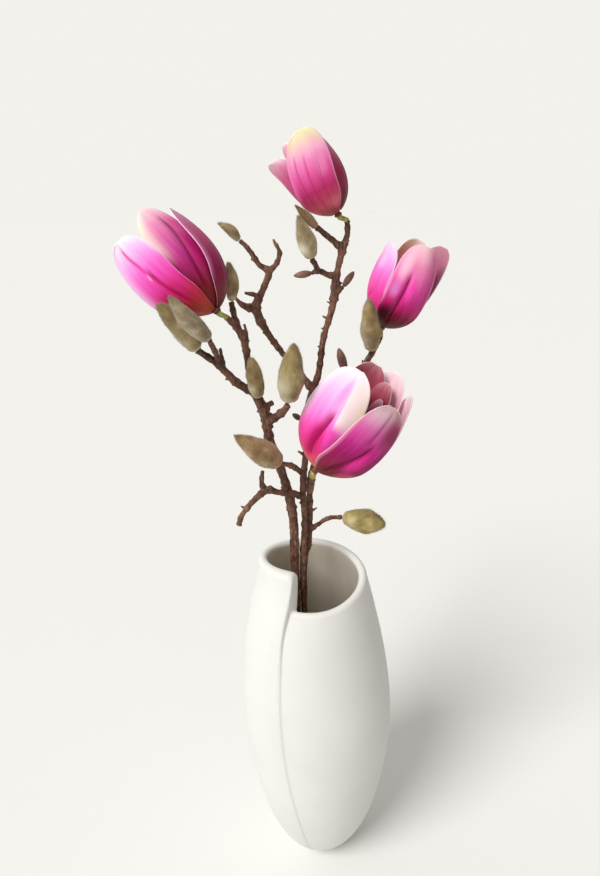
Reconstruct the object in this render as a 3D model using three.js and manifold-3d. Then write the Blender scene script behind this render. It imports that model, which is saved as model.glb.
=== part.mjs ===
// A magnolia arrangement: three cut magnolia branches standing in a tall white ceramic vase.
// Millimetres, +Z up. The origin is the centre of the vase's foot, on the surface it stands on,
// and -Y is the side that the notch in the vase's rim and most of the blossom face.
//
// Every organic piece starts as a plain three.js geometry that is bent into place:
//   a limb is a cylinder bent along a curve, a petal is a thin box curled onto a cup,
//   and a bud is a lathe turned solid bent along its own midline.

import * as THREE from "three";
import { mergeVertices } from "three/addons/utils/BufferGeometryUtils.js";
import Module from "manifold-3d";

const wasm = await Module();
wasm.setup();

// ---------------------------------------------------------------- driving dimensions

const GAP = 0.3; // clearance between pieces that touch
const FLOOR = 9; // thickness of the vase's floor
const PETAL_THICKNESS = 0.9;
const SEAT = 0.7; // from the end of a twig to the bud or the stalk on it
const FRONT = new THREE.Vector3(0, -1, 0); // the side a flower's petal turns are counted from

const CERAMIC = new THREE.MeshStandardMaterial({ color: 0xf2efea, roughness: 0.55, metalness: 0 });
const BARK = new THREE.MeshStandardMaterial({ color: 0x5a3d33, roughness: 0.8, metalness: 0 });
const GREEN = new THREE.MeshStandardMaterial({ color: 0xa3ab46, roughness: 0.6, metalness: 0 });
const PETAL = new THREE.MeshStandardMaterial({ color: 0xcf3f94, roughness: 0.55, metalness: 0 });
const FELT = new THREE.MeshStandardMaterial({ color: 0x8d8050, roughness: 0.95, metalness: 0 });
const SCALE_BROWN = new THREE.MeshStandardMaterial({ color: 0x6e5346, roughness: 0.75, metalness: 0 });
const HEART = new THREE.MeshStandardMaterial({ color: 0x6b4a2c, roughness: 0.8, metalness: 0 });

const magnolia = new THREE.Group();
magnolia.name = "magnolia_branches_in_vase";

// ---------------------------------------------------------------- helpers

const point = (list) => new THREE.Vector3(...list);
const smooth = (t) => THREE.MathUtils.smoothstep(t, 0, 1);
const lerp = THREE.MathUtils.lerp;
const radians = THREE.MathUtils.degToRad;

/** Moves every vertex of a geometry: place(vertex) returns its new position. */
function reshape(geometry, place) {
  const positions = geometry.getAttribute("position");
  const vertex = new THREE.Vector3();
  for (let i = 0; i < positions.count; i++) {
    vertex.fromBufferAttribute(positions, i);
    positions.setXYZ(i, ...place(vertex, i).toArray());
  }
  geometry.deleteAttribute("normal");
  geometry.deleteAttribute("uv");
  return mergeVertices(geometry, 1e-3);
}

/** Joins closed geometries into one solid. */
function union(geometries) {
  const solids = geometries.map(
    (geometry) =>
      new wasm.Manifold(
        new wasm.Mesh({
          numProp: 3,
          vertProperties: new Float32Array(geometry.getAttribute("position").array),
          triVerts: new Uint32Array(geometry.index.array),
        }),
      ),
  );
  const mesh = solids.reduce((whole, next) => whole.add(next)).getMesh();
  const joined = new THREE.BufferGeometry();
  joined.setAttribute("position", new THREE.BufferAttribute(mesh.vertProperties, 3));
  joined.setIndex(new THREE.BufferAttribute(mesh.triVerts, 1));
  return joined;
}

/** Adds a named piece to the arrangement, or to a group in it. */
function add(name, geometry, material, parent = magnolia) {
  const mesh = new THREE.Mesh(geometry, material);
  mesh.name = name;
  parent.add(mesh);
  return mesh;
}

// ---------------------------------------------------------------- vase

// The vase is like a sheet of clay rolled up: its rim climbs through one turn, from the step to the step.
// Every line is drawn through points [value, place]: the place is a height in millimetres, and for the
// rim it is the turn from the step in degrees.
const line = (points) =>
  new THREE.CatmullRomCurve3(points.map(([value, place]) => new THREE.Vector3(value, place, 0))).getPoints(120);

const OUTER_RADIUS = line([
  [18, 0],
  [29.8, 12],
  [45.6, 45],
  [56.5, 95],
  [60.9, 150],
  [57.6, 205],
  [48.6, 255],
  [41.1, 287],
  [40, 306],
]);
const RIM_HEIGHT = line([
  [274.4, 0],
  [275.2, 40],
  [279.2, 80],
  [283, 120],
  [286.5, 160],
  [289.3, 200],
  [292.3, 240],
  [297.4, 280],
  [302.4, 320],
  [304.7, 345],
  [305, 360],
]);
// Thickness of the wall, how far the vase leans to the right, height of the step at the seam, and
// where round the vase the seam runs, in degrees from +X towards +Y.
const WALL = line([[3.6, 0], [3.6, 20], [5, 50], [5.6, 100], [5.6, 235], [6.6, 262], [6.8, 282], [6.8, 306]]);
const LEAN = line([[0, 0], [0.3, 95], [0.6, 150], [-1.2, 205], [-2.2, 255], [-1.8, 287], [-1.5, 306]]);
const STEP = line([[0.5, 0], [0.8, 50], [1.1, 150], [1.5, 225], [2.4, 256], [3.9, 274], [4.3, 306]]);
const SEAM_ANGLE = line([
  [-105.5, 0],
  [-108, 43],
  [-113.5, 95],
  [-118.5, 150],
  [-119.5, 205],
  [-118, 250],
  [-109, 306],
]);
const RIM_CORNER = 4.2; // rounding of the rim's high end
const RIM_FILLET = 3.2; // rounding in the notch, at the rim's low start

/** The value of a line at a place. */
function read(points, place) {
  const found = points.findIndex((sample) => sample.y >= place);
  const upper = found < 0 ? points.length - 1 : Math.max(1, found);
  const [a, b] = [points[upper - 1], points[upper]];
  return lerp(a.x, b.x, (place - a.y) / (b.y - a.y));
}

/** How far a quarter circle has dropped at a share of its width. */
const roundOff = (share) => 1 - Math.sqrt(Math.max(0, 1 - Math.max(0, share) ** 2));

/** Height of the rim at a turn. */
function rimHeight(turn) {
  const corner = RIM_CORNER * roundOff((turn - 354.2) / 5.8);
  const fillet = RIM_FILLET * roundOff((4.4 - turn) / 4.4);
  return read(RIM_HEIGHT, turn) - corner + fillet;
}

/** The outside stands proud before the step and is sunk after it. */
function seamRelief(turn, height) {
  const proud = 0.72 * smooth((turn - 300) / 56);
  const sunk = 0.28 * (1 - smooth(turn / 34));
  return read(STEP, height) * (proud - sunk);
}

/** A place on the vase's section, as its radius and height. */
function sectionPoint({ kind, share = 0, angle = 0 }, turn) {
  const rim = rimHeight(turn);
  const wall = read(WALL, rim);
  const height = kind === "lip" ? rim - (wall / 2) * (1 - Math.sin(radians(angle))) : share * rim;
  const outer = read(OUTER_RADIUS, kind === "lip" ? rim - wall / 2 : height);
  if (kind === "outside") return [outer + seamRelief(turn, height), height];
  if (kind === "inside") return [outer - read(WALL, height), height];
  if (kind === "floor") return [share, FLOOR];
  if (kind === "foot") return [share, 0];
  const inwards = (1 - Math.cos(radians(180 - angle))) / 2;
  return [lerp(outer - wall, outer + seamRelief(turn, rim - wall / 2), 1 - inwards), height];
}

function makeVase() {
  const ROUND = 52; // segments round the vase
  const CROWDING = 0.62; // how much closer the segments stand at the seam
  const outside = [0.02, 0.045, 0.1, 0.2, 0.32, 0.46, 0.6, 0.73, 0.84, 0.91, 0.955];
  const inside = [0.94, 0.88, 0.79, 0.67, 0.53, 0.38, 0.24, 0.13, 0.06];
  const section = [
    { kind: "foot", share: 0 },
    { kind: "foot", share: 18 },
    ...outside.map((share) => ({ kind: "outside", share })),
    ...[180, 135, 90, 45, 0].map((angle) => ({ kind: "lip", angle })),
    ...inside.map((share) => ({ kind: "inside", share })),
    { kind: "floor", share: 21 },
    { kind: "floor", share: 0 },
  ];
  const lathe = new THREE.LatheGeometry(
    section.map((_, row) => new THREE.Vector2(1, row)),
    ROUND,
  );
  return reshape(lathe, (_, index) => {
    const share = (Math.floor(index / section.length) % ROUND) / (ROUND - 1);
    const turn = 360 * share - (CROWDING * 180 * Math.sin(2 * Math.PI * share)) / Math.PI;
    const [radius, height] = sectionPoint(section[index % section.length], turn);
    const angle = radians(read(SEAM_ANGLE, height) + (turn * 359.2) / 360);
    return new THREE.Vector3(read(LEAN, height) + radius * Math.cos(angle), radius * Math.sin(angle), height);
  });
}

add("vase", makeVase(), CERAMIC);

// ---------------------------------------------------------------- branches

/** A cylinder bent along a curve: radiusAt(share of the length) gives its radius. */
function bentRod(curve, sides, stepLength, radiusAt) {
  const steps = Math.max(2, Math.round(curve.getLength() / stepLength));
  const frames = curve.computeFrenetFrames(steps);
  const cylinder = new THREE.CylinderGeometry(1, 1, 1, sides, steps);
  return reshape(cylinder, (vertex) => {
    const step = Math.round((vertex.y + 0.5) * steps);
    const radius = radiusAt(step / steps);
    return curve
      .getPointAt(step / steps)
      .addScaledVector(frames.normals[step], vertex.x * radius)
      .addScaledVector(frames.binormals[step], -vertex.z * radius);
  });
}

/** A limb of wood through points [x, y, z, radius]. */
function limb(points) {
  const curve = new THREE.CatmullRomCurve3(points.map((at) => new THREE.Vector3(at[0], at[1], at[2])));
  return bentRod(curve, 7, 10, (share) => {
    const place = curve.getUtoTmapping(share) * (points.length - 1);
    const before = Math.min(points.length - 2, Math.floor(place));
    return lerp(points[before][3], points[before + 1][3], place - before);
  });
}

// The left branch: it leans left, forks at 415 mm, and carries the left flower and five buds.
const leftBranch = union([
  limb([ // the main stem
    [-12, -9, 12, 3.2],
    [-15, -3, 150, 3.5],
    [-14.5, -1, 293, 3.7],
    [-14.2, -2, 329, 3.7],
    [-17.5, -4, 355, 3.5],
    [-23.3, -8, 379, 3.4],
    [-28.6, -12, 400, 3.4],
    [-30, -14, 415, 4],
    [-36, -18, 432, 3.2],
    [-46, -24, 441, 2.9],
    [-57, -31, 456, 2.5],
    [-67.5, -35.5, 466, 2.1],
  ]),
  limb([ // to the second left bud
    [-54, -30, 453, 2.4],
    [-56.5, -37, 464, 2],
    [-58.5, -45.5, 474, 1.8],
  ]),
  limb([[-53, -29, 452, 1.7], [-54, -28, 459, 1.3], [-55, -28, 465, 1]]), // a bare spur
  limb([ // to the flower
    [-34, -16, 427, 2.8],
    [-39, -13, 446, 2.3],
    [-41, -16, 468, 2.7],
    [-46, -20, 478, 2.3],
    [-50, -23, 483, 2.1],
  ]),
  limb([ // to the bud behind the flower
    [-43, -18, 473, 2.4],
    [-46, -16, 483, 2.1],
    [-47.2, -14.5, 491, 1.8],
  ]),
  limb([[-40, -15, 462, 1.8], [-39, -15, 471, 1.2], [-40, -16, 477, 0.8]]), // a bare spur
  limb([ // to the small bud in the fork
    [-33, -16, 425, 2.3],
    [-33, -21, 427, 2.1],
    [-33, -23.6, 430.6, 1.8],
  ]),
  limb([ // to the large bud
    [-29, -14, 410, 3.4],
    [-22, -18, 416, 2.9],
    [-17, -21, 421, 2.6],
    [-14.3, -22.5, 425, 2.3],
  ]),
  limb([[-29.5, -14, 416, 2.4], [-28.5, -15, 422, 2.3], [-24.5, -16, 425, 1.9]]), // a blunt spur
]);
add("branch_left", leftBranch, BARK);

// The middle branch: it rises straight to the top flower and carries a forked arm on its left.
const middleBranch = union([
  limb([ // the main stem
    [-4, -11, 12, 2.3],
    [-7.5, -4, 150, 2.4],
    [-8, 1.5, 293, 2.5],
    [-5.8, 0, 327, 2.5],
    [-6.4, 0, 352, 2.6],
    [-5, 1, 368, 2.6],
    [-2, 4, 390, 2.7],
    [1, 10, 417, 3.5],
    [7, 14, 435, 2.5],
    [11, 16, 459, 2.3],
    [17, 18, 478, 2.5],
    [19.5, 19.5, 490, 3.3],
    [20.5, 20.5, 499, 3.1],
    [22.5, 22, 508, 2.3],
    [25.5, 23.5, 518, 2.9],
    [28.3, 24, 526, 2.1],
    [28.2, 23, 535.5, 1.9],
  ]),
  limb([ // the forked arm on the left
    [3, 12, 424, 3.2],
    [-7, 17, 437, 2.5],
    [-22, 22, 455, 2.4],
    [-33, 25, 474, 3.3],
    [-34.5, 26, 482, 3.6],
    [-29, 28, 493, 2.5],
    [-25, 28, 504, 2.7],
    [-31, 28, 509, 2.1],
    [-38, 27, 520, 1.8],
    [-43, 26, 525, 1.6],
  ]),
  limb([ // the arm's bare fork
    [-26, 28, 503, 2.2],
    [-19.5, 29, 509, 1.9],
    [-17, 30, 516, 1.8],
    [-21, 30, 525, 0.8],
  ]),
  limb([[-31, 27, 488, 2.1], [-37, 25, 490, 1.6], [-42, 24, 491, 1.1]]), // a short spur on the arm
  limb([ // a knobbed spur on the arm
    [-34, 26, 481, 3.1],
    [-40, 25, 481, 2.9],
    [-45, 24.5, 484, 2],
    [-49, 24, 489, 1],
  ]),
  limb([ // to the leaning bud
    [25, 23, 518, 2.7],
    [19, 20, 523, 2.3],
    [13, 17, 528, 2.1],
    [8, 14.5, 532, 1.8],
  ]),
  limb([[22, 21, 500, 2.8], [15, 17, 502, 2.1], [8, 14, 505, 2.1], [4, 12, 504, 1.4]]), // to a leaf bud
  limb([[9, 14.5, 504, 2.1], [6, 12, 510, 1.8], [4.5, 11, 513, 1.6]]), // to the pale bud
  limb([[18, 19, 488, 2.6], [22, 18, 491, 1.8], [25, 17, 494, 1.3]]), // to the right-hand leaf bud
  limb([ // to the leaf bud beside the big flower
    [-1, 6, 401, 1.9],
    [-4, 3, 404, 1.5],
    [-6, 2, 406, 1.2],
  ]),
  limb([ // to the broad bud
    [-5, 0, 364, 2.4],
    [-10, -9, 373, 2.1],
    [-15, -15, 379, 2.1],
    [-21.2, -21.3, 383.2, 1.8],
  ]),
  limb([ // the bare crooked twig on the left
    [-6, 0, 346, 2.7],
    [-14, -10, 355, 2.4],
    [-24, -14, 358, 2.4],
    [-31, -16, 361, 2.9],
    [-41, -20, 355, 2.3],
    [-50, -24, 345, 2],
    [-52, -25, 339, 2.2],
  ]),
  limb([[-33, -16, 359, 2.4], [-35, -15, 367, 1.9], [-34, -14, 375, 1.3]]), // that twig's fork
]);
add("branch_middle", middleBranch, BARK);

// The right branch: the big front flower, the low bud, and the arm behind that carries the right flower.
const rightBranch = union([
  limb([ // the main stem
    [-2, 9, 12, 2.4],
    [-7, 8, 150, 2.5],
    [-7, 9, 285, 2.5],
    [-3.2, 6.5, 305, 2.5],
    [-2.5, 5, 317, 2.6],
    [-1.7, 4, 343, 2.6],
    [-0.6, 4, 360, 2.6],
    [5.5, 9, 376, 2.4],
    [15, 14, 397, 2.2],
    [26, 18, 416, 2.4],
    [35, 20, 432, 2.1],
    [43, 20, 444, 2.2],
    [45, 19, 449, 1.9],
  ]),
  limb([[-1.3, 4, 348, 2.5], [-0.3, -3.5, 357, 2.4], [0.8, -11, 368, 2.2]]), // to the big front flower
  limb([[42, 20, 442, 2.2], [48.5, 23.5, 451, 1.9], [52, 27, 457, 1.8]]), // to the right flower
  limb([[25, 18, 414, 1.9], [27, 16, 428, 1.6], [26, 14, 436, 1.3]]), // to a leaf bud
  limb([ // to the low bud
    [-2.4, 5, 316, 2.3],
    [5, 2, 323, 1.9],
    [12, 0, 328.5, 1.9],
    [21.5, -3, 330.5, 1.7],
  ]),
]);
add("branch_right", rightBranch, BARK);

// ---------------------------------------------------------------- buds

/** A teardrop bud from its base to its tip, widest at a share of its length, with a bowed midline. */
function bud(base, tip, radius, { widest = 0.38, bow = 0, stub = 0.45, point: sharp = 0, round = 9 } = {}) {
  const start = point(base);
  const axis = point(tip).sub(start);
  const length = axis.length() - SEAT;
  axis.normalize();
  const sideways = new THREE.Vector3().crossVectors(FRONT, axis).normalize();
  const ROWS = 7;
  const swell = (t) =>
    t < widest
      ? lerp(stub, 1, Math.sin((t / widest) * (Math.PI / 2)))
      : (1 - ((t - widest) / (1 - widest)) ** lerp(1.9, 1.4, sharp)) ** lerp(0.62, 0.9, sharp);
  const profile = [new THREE.Vector2(0, 0)];
  for (let row = 0; row <= ROWS; row++) {
    const t = row / ROWS;
    profile.push(new THREE.Vector2(row === ROWS ? 0 : radius * swell(t), t * length));
  }
  const upright = new THREE.Quaternion().setFromUnitVectors(new THREE.Vector3(0, 1, 0), axis);
  return reshape(new THREE.LatheGeometry(profile, round), (vertex) => {
    const bend = bow * Math.sin((Math.PI * vertex.y) / length);
    return vertex
      .clone()
      .setY(vertex.y + SEAT)
      .applyQuaternion(upright)
      .add(start)
      .addScaledVector(sideways, bend);
  });
}

const FELT_BUDS = {
  bud_far_left: [[-67.5, -35.8, 466.3], [-85.1, -52, 496.9], 7.2, { bow: -2 }],
  bud_left_front: [[-58.5, -45.5, 474], [-75.4, -66, 503], 5.8, { widest: 0.32, bow: 1, point: 0.5 }],
  bud_behind_flower: [[-46.8, -14.5, 491.3], [-48.5, -3, 514], 4.2, { bow: -1 }],
  bud_fork_small: [[-33, -24.5, 431], [-36, -30, 459], 5.5, {}],
  bud_fork_large: [[-14, -22.5, 426], [-9, -20, 465], 8.4, { point: 0.3 }],
  bud_broad: [[-21.5, -21.5, 383.5], [-49, -38, 411], 8.6, { widest: 0.34, point: 0.7 }],
  bud_arm: [[-43, 26, 525], [-56, 22, 536.5], 3.4, { bow: -1.5, point: 0.6 }],
  bud_leaning: [[8, 14.5, 532], [-5.5, 7, 546], 3.1, { point: 0.8, stub: 0.6 }],
  bud_pale: [[4.5, 11, 513], [-4, 5, 540], 5.9, { widest: 0.32, point: 0.5 }],
  bud_beside_right_flower: [[45, 18.5, 449.5], [40.5, 3, 487.5], 6.8, { widest: 0.3 }],
  bud_low_right: [[21.5, -3, 330.5], [52.5, -12, 328], 9, { widest: 0.46, stub: 0.3 }],
};
for (const [name, [base, tip, radius, shape]] of Object.entries(FELT_BUDS)) {
  add(name, bud(base, tip, radius, shape), FELT);
}

const LEAF_BUDS = {
  leaf_bud_top_left: [[4, 12, 504], [-8, 8, 503], 2.3],
  leaf_bud_top_right: [[25, 17, 494], [32, 14, 504], 2.3],
  leaf_bud_behind: [[26, 14, 436], [21, 10, 454], 3.2],
  leaf_bud_beside_flower: [[-6, 2, 406], [-12, 0, 411], 2.1],
};
for (const [name, [base, tip, radius]] of Object.entries(LEAF_BUDS)) {
  add(name, bud(base, tip, radius, { widest: 0.45, round: 7 }), SCALE_BROWN);
}

// ---------------------------------------------------------------- flowers

// The rings of petals: radius and height of their roots, and how high their cups start to swell.
const OUTER = { root: 3.2, rise: -4.2, lift: 0.9 };
const MIDDLE = { root: 2.8, rise: -3.3, lift: 1.6 };
const INNER = { root: 2.4, rise: -2.4, lift: 2.3 };
const HEARTMOST = { root: 1.9, rise: -1.5, lift: 3 };
const CENTRE = { root: 1.5, rise: -0.5, lift: 3.8 };

/**
 * A point of a petal, in its flower's frame: +Z along the flower's axis, 0 degrees facing the front.
 * along runs from 0 at the root to 1 at the tip, across from -1 to 1 between the edges.
 * A petal stands at its turn round the axis. Its midrib starts at its whorl's root, swells out to
 * about the belly and ends at the tip radius. Foot says how much of the ring its root covers, and
 * sharp how pointed its tip is. Swirl winds the tip round the axis, and tuck moves one edge out and
 * the other in, so that neighbours can overlap like shingles.
 */
function petalPoint(shape, across, along) {
  const { whorl, turn, belly, tip, length, width, tuck = 0, swirl = 0, foot = 0.85, sharp = 1 } = shape;
  const midrib = new THREE.CubicBezierCurve(
    new THREE.Vector2(whorl.root, whorl.rise),
    new THREE.Vector2(belly * 1.15, whorl.lift + 0.07 * length),
    new THREE.Vector2(belly * 1.1, 0.62 * length),
    new THREE.Vector2(tip, length),
  ).getPoint(along);
  const opening = Math.min(1, along / 0.36);
  const broadening = lerp(smooth(opening), 1 - (1 - opening) ** 2, foot);
  const rounding = (1 - 0.975 * Math.max(0, (along - 0.55) / 0.45) ** 2.6) ** (0.5 * sharp);
  const halfWidth = lerp(foot * whorl.root, width, broadening) * rounding;
  const angle = radians(turn + swirl * along) + (across * halfWidth) / midrib.x;
  const radius = midrib.x + tuck * across * smooth(along / 0.4);
  return new THREE.Vector3(radius * Math.cos(angle), radius * Math.sin(angle), midrib.y);
}

/** A petal as a thin box curled onto its cup. */
function petal(shape) {
  const STEP = 1e-3;
  const box = new THREE.BoxGeometry(2, 1, 1, 6, 8, 1);
  return reshape(box, ({ x: across, y, z: depth }) => {
    const along = y + 0.5;
    const here = petalPoint(shape, across, along);
    const alongStep = along > 0.5 ? -STEP : STEP;
    const overAcross = petalPoint(shape, across + STEP, along).sub(here);
    const overAlong = petalPoint(shape, across, along + alongStep).sub(here);
    overAlong.multiplyScalar(Math.sign(alongStep));
    const outward = overAcross.cross(overAlong).normalize();
    return here.addScaledVector(outward, depth * PETAL_THICKNESS);
  });
}

/** The heart of a flower: a small seat under the petals, with the seed cone on it. */
function receptacle(coneHeight) {
  const profile = [
    [0, -6.6],
    [1.8, -6.6],
    [2.5, -6],
    [2.5, -5.2],
    [1.8, -4.3],
    [1, -2.8],
    [0.6, -0.8],
    [0.6, 2],
    [1.5, 4.5],
    [2.4, 6.5],
    [2.5, coneHeight * 0.55],
    [1.7, coneHeight * 0.85],
    [0, coneHeight],
  ];
  const lathe = new THREE.LatheGeometry(
    profile.map(([radius, height]) => new THREE.Vector2(radius, height)),
    10,
  );
  return reshape(lathe, (vertex) => new THREE.Vector3(vertex.x, -vertex.z, vertex.y));
}

/** Turns a group so that its +Z is the flower's axis and its +X faces the front. */
function faceFront(group, axis) {
  const forward = FRONT.clone().addScaledVector(axis, -FRONT.dot(axis)).normalize();
  const right = new THREE.Vector3().crossVectors(axis, forward);
  group.quaternion.setFromRotationMatrix(new THREE.Matrix4().makeBasis(forward, right, axis));
}

/** A flower of its petals on a receptacle, with a green stalk down to its twig. */
function flower(name, { base, aim, twigEnd, twigWay, stalkRadius, cone, petals }) {
  const axis = point(aim).normalize();
  const group = new THREE.Group();
  group.position.copy(point(base));
  faceFront(group, axis);
  magnolia.add(group);
  add(`${name}_receptacle`, receptacle(cone), HEART, group);
  petals.forEach((shape, index) => add(`${name}_petal_${index + 1}`, petal(shape), PETAL, group));

  const leaving = point(twigWay).normalize();
  const foot = point(twigEnd).addScaledVector(leaving, SEAT);
  const top = point(base).addScaledVector(axis, -6.6 - GAP);
  const reach = foot.distanceTo(top) / 3;
  const path = new THREE.CubicBezierCurve3(
    foot,
    foot.clone().addScaledVector(leaving, reach),
    top.clone().addScaledVector(axis, -reach),
    top,
  );
  const stalk = bentRod(path, 8, 5, (share) => stalkRadius * lerp(0.9, 1.1, share));
  add(`${name}_stalk`, stalk, GREEN);
}

flower("flower_left", {
  base: [-58, -27, 492],
  aim: [-29, 14, 37],
  twigEnd: [-50, -23, 483],
  twigWay: [-4, -3, 5],
  stalkRadius: 1.7,
  cone: 16,
  petals: [
    { whorl: OUTER, turn: -30, belly: 29, tip: 32.8, length: 53, width: 16, tuck: -1.8, swirl: 6 },
    { whorl: INNER, turn: 34, belly: 22.5, tip: 9.3, length: 67, width: 13.5, swirl: -13, sharp: 1.5 },
    { whorl: OUTER, turn: 90, belly: 24, tip: 15.4, length: 60, width: 14.5, swirl: -3, sharp: 1.7 },
    { whorl: OUTER, turn: -154, belly: 23.5, tip: 15, length: 57, width: 17, swirl: 8 },
    { whorl: INNER, turn: 150, belly: 15, tip: 5, length: 54, width: 14.5 },
    { whorl: HEARTMOST, turn: -80, belly: 16, tip: 6, length: 58, width: 13.5, swirl: 3, foot: 0.6 },
  ],
});

flower("flower_top", {
  base: [20, 22, 544],
  aim: [-21, 3, 44],
  twigEnd: [28.2, 23, 535.5],
  twigWay: [-1, -1, 5],
  stalkRadius: 1.7,
  cone: 13,
  petals: [
    { whorl: OUTER, turn: -32, belly: 22.5, tip: 18, length: 48, width: 15, tuck: -1.2, swirl: 32 },
    { whorl: MIDDLE, turn: 80, belly: 16.3, tip: 9, length: 44, width: 16, swirl: 4, foot: 0.7 },
    { whorl: MIDDLE, turn: -73, belly: 18, tip: 24.5, length: 41, width: 17, tuck: -2.8, swirl: 2, foot: 0.5 },
    {
      whorl: HEARTMOST, turn: -60, belly: 13.5, tip: 13, length: 47, width: 10,
      tuck: -0.5, swirl: -7, foot: 0.4,
    },
    { whorl: CENTRE, turn: 54, belly: 11.3, tip: 5, length: 48, width: 11, foot: 0.5 },
    { whorl: INNER, turn: 186, belly: 14.8, tip: 6, length: 44, width: 11, foot: 0.6 },
  ],
});

flower("flower_right", {
  base: [55.5, 30.5, 468],
  aim: [22, -1.5, 48],
  twigEnd: [52, 27, 457],
  twigWay: [4, 4, 9],
  stalkRadius: 1.8,
  cone: 14,
  petals: [
    { whorl: OUTER, turn: 8, belly: 26.3, tip: 16.5, length: 56, width: 15, swirl: -8 },
    { whorl: MIDDLE, turn: -85, belly: 21.8, tip: 20, length: 49, width: 17.5, swirl: 11, foot: 0.6 },
    { whorl: OUTER, turn: 132, belly: 20.5, tip: 26, length: 60, width: 15 },
    { whorl: INNER, turn: 187, belly: 15, tip: 11, length: 58, width: 15.5, swirl: -5, foot: 0.6 },
    { whorl: CENTRE, turn: -42, belly: 10.5, tip: 6, length: 50, width: 9.5, foot: 0.6 },
    { whorl: HEARTMOST, turn: 62, belly: 13.6, tip: 8.5, length: 56, width: 11.5, foot: 0.5 },
  ],
});

flower("flower_front", {
  base: [5, -16.5, 379.5],
  aim: [28, 6, 43],
  twigEnd: [0.8, -11, 368],
  twigWay: [0, -6, 6],
  stalkRadius: 2.2,
  cone: 17,
  petals: [
    {
      whorl: INNER, turn: -42, belly: 29.5, tip: 20.5, length: 70, width: 23.5,
      tuck: -1, swirl: -2, sharp: 1.15,
    },
    { whorl: OUTER, turn: 5, belly: 38.2, tip: 36, length: 62, width: 17, tuck: 0.7, swirl: 16, foot: 0.3 },
    { whorl: OUTER, turn: 86.5, belly: 35, tip: 29, length: 72, width: 18, swirl: 3, foot: 0.5 },
    { whorl: INNER, turn: 174, belly: 26, tip: 14.8, length: 78, width: 17.5, swirl: 3, foot: 0.5 },
    { whorl: HEARTMOST, turn: -112, belly: 21.5, tip: 9, length: 62, width: 12.5, foot: 0.5 },
    { whorl: MIDDLE, turn: 113, belly: 29, tip: 23, length: 80.5, width: 18, swirl: 20, foot: 0.42 },
    { whorl: CENTRE, turn: 112, belly: 15.5, tip: 15.5, length: 59.5, width: 9.5, swirl: -2, foot: 0.5 },
    { whorl: HEARTMOST, turn: 120, belly: 21.7, tip: 16.5, length: 71, width: 13.4, swirl: 6, foot: 0.5 },
  ],
});

export default magnolia;
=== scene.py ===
# %% [markdown]
# # Magnolia branches in a white vase
#
# Three cut magnolia branches stand in a tall white vase: four pink blossoms, eleven furry flower buds
# and four small leaf buds on knobbly reddish brown wood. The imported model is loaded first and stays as
# it is. It says where everything goes, and each of its solids is then replaced by a piece with the
# real surface: folded petals, rough bark, felted buds and matt ceramic.
#
# Design lengths are written in millimetres, because that is how a vase or a petal is measured, and
# Blender works in metres, so `mm` turns one into the other.

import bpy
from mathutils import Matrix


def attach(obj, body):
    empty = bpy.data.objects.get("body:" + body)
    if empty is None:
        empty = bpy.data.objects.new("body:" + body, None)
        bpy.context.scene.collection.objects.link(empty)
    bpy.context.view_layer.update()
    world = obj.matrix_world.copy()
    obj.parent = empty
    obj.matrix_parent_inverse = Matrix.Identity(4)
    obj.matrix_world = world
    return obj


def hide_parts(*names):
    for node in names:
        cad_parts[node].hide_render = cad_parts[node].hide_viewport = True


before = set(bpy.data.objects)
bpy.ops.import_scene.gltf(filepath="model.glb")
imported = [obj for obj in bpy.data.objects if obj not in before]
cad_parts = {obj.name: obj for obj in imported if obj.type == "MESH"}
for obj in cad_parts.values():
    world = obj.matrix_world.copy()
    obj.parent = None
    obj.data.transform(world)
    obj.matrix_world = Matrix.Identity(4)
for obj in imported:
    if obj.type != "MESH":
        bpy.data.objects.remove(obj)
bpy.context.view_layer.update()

# %% Modules and small helpers
import math
import random

import bpy
from mathutils import Matrix, Vector, noise

MM = 0.001


def mm(*lengths):
    """A point or a vector in metres from its millimetres."""
    return Vector(lengths) * MM


def smooth(t):
    """Eases from 0 to 1 as t goes from 0 to 1."""
    t = min(1.0, max(0.0, t))
    return t * t * (3 - 2 * t)


def lerp(a, b, t):
    return a + (b - a) * t


def spline(points, steps):
    """A smooth line through the points, with that many steps in each span (centripetal Catmull-Rom)."""
    line = [2 * points[0] - points[1], *points, 2 * points[-1] - points[-2]]
    found = []
    for a, b, c, d in zip(line, line[1:], line[2:], line[3:]):
        before, here, after = ((q - p).length ** 0.5 for p, q in ((a, b), (b, c), (c, d)))
        start = ((b - a) / before - (c - a) / (before + here) + (c - b) / here) * here
        end = ((c - b) / here - (d - b) / (here + after) + (d - c) / after) * here
        for step in range(steps):
            t = step / steps
            found.append(
                (2 * t**3 - 3 * t**2 + 1) * b
                + (t**3 - 2 * t**2 + t) * start
                + (3 * t**2 - 2 * t**3) * c
                + (t**3 - t**2) * end
            )
    return [*found, points[-1]]


print(
    "a spline through 3 points in 4 steps a span has",
    len(spline([mm(0, 0, 0), mm(5, 0, 0), mm(9, 3, 0)], 4)),
    "points",
)

# %% [markdown]
# ## The camera
#
# The viewer stands close in front of the arrangement and looks down on it by about 21 degrees, with a
# short lens, so the tall vase narrows towards its foot. The camera is placed first, because it decides
# how much detail each piece needs. It leans less than two degrees to one side, as a hand-held one does.

# %% Camera
bpy.ops.object.select_all(action="DESELECT")
bpy.ops.object.camera_add(location=(-0.0073, -0.3969, 0.5469))
camera = bpy.context.object
camera.name = "camera"
camera.data.lens = 24.86
camera.data.sensor_width = 36
tilt = Matrix.Rotation(math.radians(68.8), 3, "X") @ Matrix.Rotation(math.radians(-1.91), 3, "Z")
camera.rotation_euler = tilt.to_euler()
bpy.context.scene.camera = camera
print("camera at", tuple(camera.location), "lens", camera.data.lens)

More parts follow.
